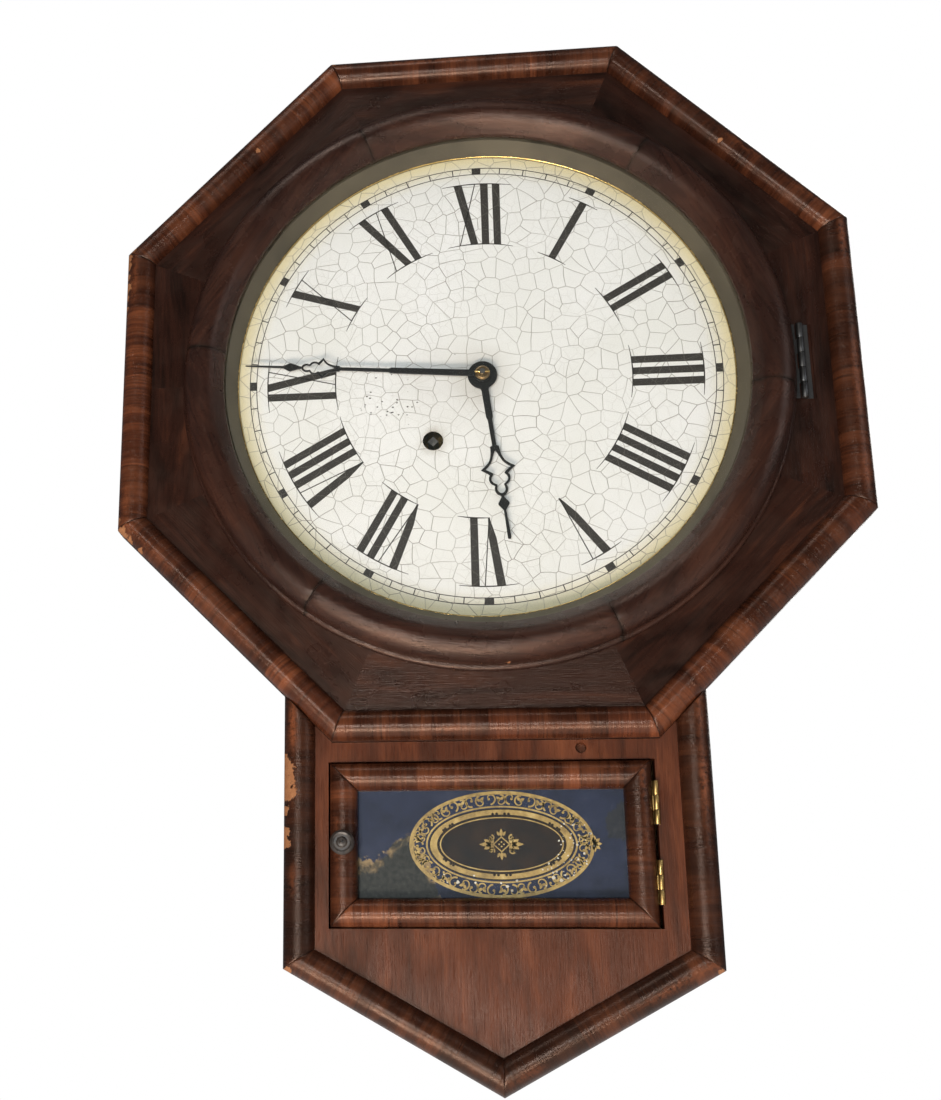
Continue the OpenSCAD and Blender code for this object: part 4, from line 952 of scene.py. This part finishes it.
def tablet_ground_paint():
    net = Net("tablet_blue")
    p = net.millimetres()
    x = net.part(p, 0)
    y = net.minus(net.part(p, 2), CENTRE_Z / MM)
    cloud = net.noise(p, 0.05, 5, 0.7)
    fleck = net.noise(p, 0.4, 4, 0.7)
    deep, middle, pale = (0.009, 0.013, 0.032), (0.019, 0.027, 0.062), (0.050, 0.056, 0.085)
    blue = net.ramp(cloud, (0.3, deep), (0.55, middle), (0.8, pale))
    # the loss at the lower left: below one edge and left of another
    top_edge = net.step(x, -70, -47, LOSS_TOP, LOSS_TOP + 15)
    below = net.minus(top_edge, y)
    slant = net.plus(net.times(net.minus(LOSS_PEAK, y), 0.44), -46)
    left = net.minus(slant, x)
    depth = net.maths("MINIMUM", below, left)
    ragged = net.minus(net.noise(p, 0.12, 5, 0.7), 0.5)
    depth = net.plus(depth, net.times(ragged, 16))
    lost = net.step(depth, -0.2, 0.2)
    edge = net.times(net.step(depth, -1.0, -0.4), net.step(depth, 5.5, 0.5))
    edge = net.times(edge, net.step(net.noise(p, 0.07), 0.42, 0.55))
    # the darker stain at the right
    flat = net.scaled(p, (1, 0, 1))
    far = net.distance(flat, (STAIN[0], 0, CENTRE_Z / MM + STAIN[1]))
    stained = net.plus(far, net.times(cloud, 26))
    stain = net.step(stained, 22.6, 23.6, 1, 0)
    bare = net.ramp(fleck, (0.35, (0.012, 0.014, 0.015)), (0.7, (0.042, 0.044, 0.040)))
    base = net.mix(stain, blue, net.mix(0.3, bare, blue))
    base = net.mix(lost, base, bare)
    base = net.mix(net.times(edge, 0.75), base, (0.36, 0.25, 0.12))
    dot = net.times(net.step(net.noise(p, 0.9, 3, 0.7), 0.72, 0.75), 0.5)
    base = net.mix(dot, base, (0.6, 0.58, 0.5))
    return net.finish(base, 0.45, None, Specular_IOR_Level=0.2)


def gold_paint():
    net = Net("tablet_gold")
    p = net.millimetres()
    cloud = net.noise(p, 0.15, 5, 0.7)
    base = net.ramp(cloud, (0.3, (0.20, 0.13, 0.040)), (0.55, (0.42, 0.29, 0.09)), (0.8, (0.64, 0.50, 0.22)))
    return net.finish(base, net.step(cloud, 0.3, 0.7, 0.35, 0.5), None, Metallic=0.2)


def plain_paint(name, shade, deeper):
    net = Net(name)
    p = net.millimetres()
    cloud = net.noise(p, 0.08, 4, 0.6)
    base = net.ramp(cloud, (0.35, deeper), (0.7, shade))
    return net.finish(base, 0.4, None, Specular_IOR_Level=0.2)


def scroll(sheet, spot, reach, turn, side, width=0.8):
    """One curling tendril that ends in a dot."""
    points, widths = [], []
    steps = 16
    for i in range(steps + 1):
        t = i / steps
        radius = reach * (1 - 0.78 * t)
        a = turn + side * t * 5.2
        points.append((spot[0] + radius * cos(a), spot[1] + radius * sin(a)))
        widths.append(width * (1.25 - 0.7 * t))
    sheet.stroke(points, widths)
    sheet.disc(*points[-1], 0.75)


def petal(sheet, spot, angle, length, width):
    steps = 8
    side = [(length * i / steps, width * sin(pi * (i / steps) ** 0.8)) for i in range(steps + 1)]
    outline = side + [(u, -v) for u, v in reversed(side[1:-1])]
    c, s = cos(angle), sin(angle)
    sheet.plate([(spot[0] + c * u - s * v, spot[1] + s * u + c * v) for u, v in outline])


def paint_layer(back, front):
    """A sheet of paint behind the tablet's glass, between two depths."""
    edge = tablet.z0 - PAINT_GAP
    return Sheet(edge - back, edge - front)


def finish_coat(name, sheet, paint_used):
    sheet.build(name, "lower_door", paint_used, "tablet")


def tablet_ground():
    ground = paint_layer(0.45, 0.25)
    x0, x1, y0, y1 = tablet.x0, tablet.x1, tablet.y0, tablet.y1
    ground.plate([(x0, y0), (x1, y0), (x1, y1), (x0, y1)])
    finish_coat("tablet_ground", ground, tablet_ground_paint())
    window = paint_layer(0.25, 0.20)
    window.plate(ellipse(34.5, 15.8))
    dark = plain_paint("tablet_window", (0.026, 0.014, 0.009), (0.007, 0.006, 0.008))
    finish_coat("tablet_window", window, dark)


def tablet_filigree(gold):
    leaf = paint_layer(0.20, 0.12)
    for inner, outer in (
        ((48.3, 27.2), (50.3, 29.0)), ((40.2, 20.0), (41.2, 20.9)),
        ((34.5, 15.6), (39.2, 19.1)), ((32.9, 14.2), (33.6, 14.8)),
    ):
        leaf.band(ellipse(*inner), ellipse(*outer))
    count = 26
    for i in range(count):
        a = 2 * pi * (i + 0.5) / count
        curl = 1 if i % 2 else -1
        scroll(leaf, on_oval(44.2, 44.2 * 0.535, a), 3.5, a, curl)
        b = a + pi / count
        scroll(leaf, on_oval(46.3, 46.3 * 0.535 * 1.02, b), 3.5, b + pi, -curl)
        for tilt in (0.9, -0.9):
            petal(leaf, on_oval(45.2, 24.3, a), a + tilt, 2.8, 0.8)
    for tilt in range(-80, 81, 40):
        petal(leaf, on_oval(49.6, 0, 0), radians(tilt), 4.6, 1.1)
    finish_coat("tablet_filigree", leaf, gold)


def tablet_quatrefoil(gold):
    centre = paint_layer(0.19, 0.12)
    x, y = OVAL
    leaves = ((0.0, 4.6, 7.6), (0.55, 5.6, 4.6), (-0.55, 5.6, 4.6), (1.0, 4.4, 4.2), (-1.0, 4.4, 4.2))
    for sign in (-1, 1):
        ahead = 0 if sign > 0 else pi
        for tilt, reach, length in leaves:
            petal(centre, (x + sign * reach, y + 0.5 * tilt * sign), ahead + tilt, length, 1.25)
        for lift in (-1, 1):
            scroll(centre, (x + sign * 5.6, y + lift * 3.3), 1.9, 0.4 + lift, sign * lift, 0.7)
            turn = lift * pi / 2 - sign * 0.5 * lift
            petal(centre, (x + sign * 1.0, y + lift * 4.6), turn, 2.9, 0.7)
        petal(centre, (x, y + sign * 4.2), sign * pi / 2, 4.4, 0.9)
    centre.stroke([(x - 4.4, y), (x, y + 4.0), (x + 4.4, y), (x, y - 4.0)], 0.9, True)
    for right, up in ((1.3, 0), (-1.3, 0), (0, 1.2), (0, -1.2)):
        centre.disc(x + right, y + up, 0.5, 6)
    finish_coat("tablet_quatrefoil", centre, gold)


def tablet_flakes():
    """Bright flecks where the gold has lifted, mostly at the lower right."""
    flakes = paint_layer(0.05, 0.01)
    dice = random.Random(5)
    for i in range(60):
        a = radians(dice.choice((dice.uniform(200, 380), dice.uniform(-50, 30))))
        far = dice.uniform(0.62, 1.0)
        cx, cy = on_oval(50 * far, 28 * far, a)
        size = dice.uniform(0.25, 0.7) * (1.0 if i % 9 else 2.0)
        sides = dice.choice((5, 6, 7))
        flakes.plate([
            (cx + size * dice.uniform(0.6, 1.3) * cos(t),
             cy + size * dice.uniform(0.6, 1.3) * sin(t))
            for t in turns(sides)
        ])
    pale = plain_paint("tablet_flake", (0.85, 0.83, 0.74), (0.45, 0.42, 0.34))
    finish_coat("tablet_flakes", flakes, pale)


def painted_tablet():
    gold = gold_paint()
    line = plain_paint("tablet_line", (0.030, 0.018, 0.010), (0.015, 0.010, 0.008))
    tablet_ground()
    tablet_filigree(gold)
    lines = paint_layer(0.11, 0.06)
    lines.band(ellipse(38.9, 18.8), ellipse(39.5, 19.4))
    lines.band(ellipse(34.2, 15.3), ellipse(35.1, 16.1))
    finish_coat("tablet_lines", lines, line)
    tablet_quatrefoil(gold)
    dots = paint_layer(0.11, 0.06)
    for middle in (90, 270, 35, 145, 215, 325):
        for turn in (-7, -3.5, 3.5, 7):
            dots.disc(*on_oval(35.6, 16.5, radians(middle + turn)), 0.8)
    finish_coat("tablet_dots", dots, line)
    tablet_flakes()


# Small parts from the frame


def soften(node, width, material):
    """The CAD node with its own finish and, where width isn't 0, lightly rounded edges."""
    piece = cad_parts[node]
    for slot in piece.material_slots:
        slot.material = material
    if width:
        weld = piece.modifiers.new("weld", "WELD")
        weld.merge_threshold = 0.000005
        edge = piece.modifiers.new("edge", "BEVEL")
        edge.width = width * MM
        edge.segments = 2
        edge.limit_method = "ANGLE"
        edge.angle_limit = radians(30)
        edge.harden_normals = True


# (finish, width of the rounded edges, nodes)
FINISHES = (
    (back_wood, 0.4, "back_board"),
    (case_wood, 0.5, "case_side_left case_side_right"),
    (case_wood_across, 0.5, "case_top"),
    (case_wood_across, 0.4, "case_bottom_boards"),
    (octagon_veneer, 0, "octagon_panel"),
    (drop_veneer, 0.4, "drop_panel"),
    (block_wood, 0.6, "corner_blocks"),
    (block_wood, 0.5, "movement_blocks"),
    (block_wood, 0.3, "tablet_strips"),
    (paint, 0, "dial_plate"),
    (ring_finish, 0, "sight_ring"),
    (clear_glass, 0, "bezel_glass tablet_glass"),
    (iron, 0.3, "hanger_plate"),
    (blued_steel, 0, "mainspring suspension_spring"),
    (steel, 0, "case_screws click_spring second_arbor centre_arbor third_arbor escape_arbor pendulum_rod"),
    (steel, 0.1, "hinge_pins winding_arbor ratchet_wheel"),
    (steel, 0.15, "click verge"),
    (steel, 0.2, "pillars pillar_nuts"),
    (brass, 0, "great_wheel second_wheel centre_wheel third_wheel escape_wheel"),
    (brass, 0, "cannon_pinion minute_wheel hour_wheel"),
    (brass, 0.1, "door_hinge_case_leaves door_hinge_leaves"),
    (brass, 0.15, "back_plate front_plate crutch"),
    (brass, 0.2, "bezel_catch door_latch"),
    (brass, 0.25, "suspension_cock"),
    (brass, 0.3, "rating_nut"),
    (dull_brass, 0.12, "bezel_hinge_case_leaf bezel_hinge_leaf"),
    (bronze, 0.15, "hand_washer"),
    (polished_brass, 0.05, "taper_pin"),
    (polished_brass, 0, "pendulum_bob"),
)


def knob_finish():
    net = Net("knob_finish")
    p = net.millimetres()
    cloud = net.noise(p, 0.35, 5, 0.7)
    base = net.ramp(cloud, (0.3, (0.012, 0.010, 0.009)), (0.75, (0.050, 0.038, 0.030)))
    rough = net.step(cloud, 0.3, 0.7, 0.32, 0.55)
    return net.finish(base, rough, net.bump(cloud, 0.2), Coat_Weight=0.3, Coat_Roughness=0.2)


for finish, width, nodes in FINISHES:
    for node in nodes.split():
        soften(node, width, finish)
soften("door_knob", 0.25, knob_finish())

octagon_rails()
sight_edge()
drop_rails()
door_frame()
bezel_ring()
minute_track()
numerals()
hands()
painted_tablet()


# Stage, light and camera


def stage():
    size, drop_by = 6.0, 1.2
    floor_z = cad_bounds[0][2] - drop_by
    mesh = bpy.data.meshes.new("floor")
    corners = [(-size, -size, floor_z), (size, -size, floor_z), (size, size, floor_z), (-size, size, floor_z)]
    mesh.from_pydata(corners, [], [(0, 1, 2, 3)])
    floor = link("floor", mesh)
    net = Net("floor_paint")
    grey = net.noise(net.millimetres(), 0.002, 3)
    shade = net.ramp(grey, (0.3, (0.80, 0.80, 0.80)), (0.7, (0.84, 0.84, 0.84)))
    mesh.materials.append(net.finish(shade, 0.8))


def area_light(name, where, target, size, power, tint):
    data = bpy.data.lights.new(name, "AREA")
    data.shape = "RECTANGLE"
    data.size, data.size_y = size
    data.energy = power
    data.color = tint
    lamp = link(name, data)
    lamp.location = where
    direction = Vector(target) - Vector(where)
    lamp.rotation_euler = direction.to_track_quat("-Z", "Y").to_euler()
    lamp.visible_camera = False


def lights():
    middle = (0, -0.08, CENTRE_Z - 0.05)
    area_light("key", (-0.40, -1.35, -1.40), middle, (1.0, 0.35), 25, (1.0, 0.84, 0.70))
    area_light("front", (-0.40, -2.3, -0.72), middle, (0.6, 0.5), 23.5, (0.95, 0.99, 1.0))
    area_light("fill", (1.8, -1.2, 0.3), middle, (0.4, 1.0), 5, (0.86, 0.92, 1.0))
    area_light("top", (-0.5, -1.0, 1.5), middle, (0.9, 0.4), 5, (1.0, 0.97, 0.93))
    area_light("rear", (0.6, 1.6, 0.7), middle, (1.5, 1.5), 26, (1.0, 0.98, 0.95))
    wash = cad_bounds[0][2] - 0.7
    area_light("floor_wash", (0, 0, wash), (0, 0, wash - 1), (11, 11), 170, (1.0, 1.0, 1.0))
    world = bpy.data.worlds.new("studio")
    world.use_nodes = True
    tree = world.node_tree
    soft = tree.nodes["Background"]
    soft.inputs["Color"].default_value = (0.95, 0.96, 1.0, 1)
    soft.inputs["Strength"].default_value = 0.09
    white = tree.nodes.new("ShaderNodeBackground")
    white.inputs["Color"].default_value = (1, 1, 1, 1)
    white.inputs["Strength"].default_value = 1.0
    seen = tree.nodes.new("ShaderNodeLightPath")
    both = tree.nodes.new("ShaderNodeMixShader")
    tree.links.new(seen.outputs["Is Camera Ray"], both.inputs[0])
    tree.links.new(soft.outputs[0], both.inputs[1])
    tree.links.new(white.outputs[0], both.inputs[2])
    tree.links.new(both.outputs[0], tree.nodes["World Output"].inputs["Surface"])
    bpy.context.scene.world = world


def camera():
    """A viewpoint low in front of the clock, looking up at it."""
    data = bpy.data.cameras.new("camera")
    data.sensor_width = 36
    data.lens = 48.92
    data.shift_x = 0.1589
    data.shift_y = 0.0084
    view = link("camera", data)
    # millimetres from the middle of the dial's face
    right, front, up = -10.0, 831.5, -349.87
    pitch, roll, yaw = 16.02, -0.31, 6.85
    turn = (
        Matrix.Rotation(radians(yaw), 3, "Z")
        @ Matrix.Rotation(radians(roll), 3, "Y")
        @ Matrix.Rotation(radians(pitch), 3, "X")
    )
    look = turn @ Matrix.Rotation(radians(90), 3, "X")
    view.matrix_world = Matrix.Translation(place(right, up, dial.z1 + front)) @ look.to_4x4()
    bpy.context.scene.camera = view


stage()
lights()
camera()
bpy.context.scene.view_settings.view_transform = "Standard"
bpy.context.view_layer.update()
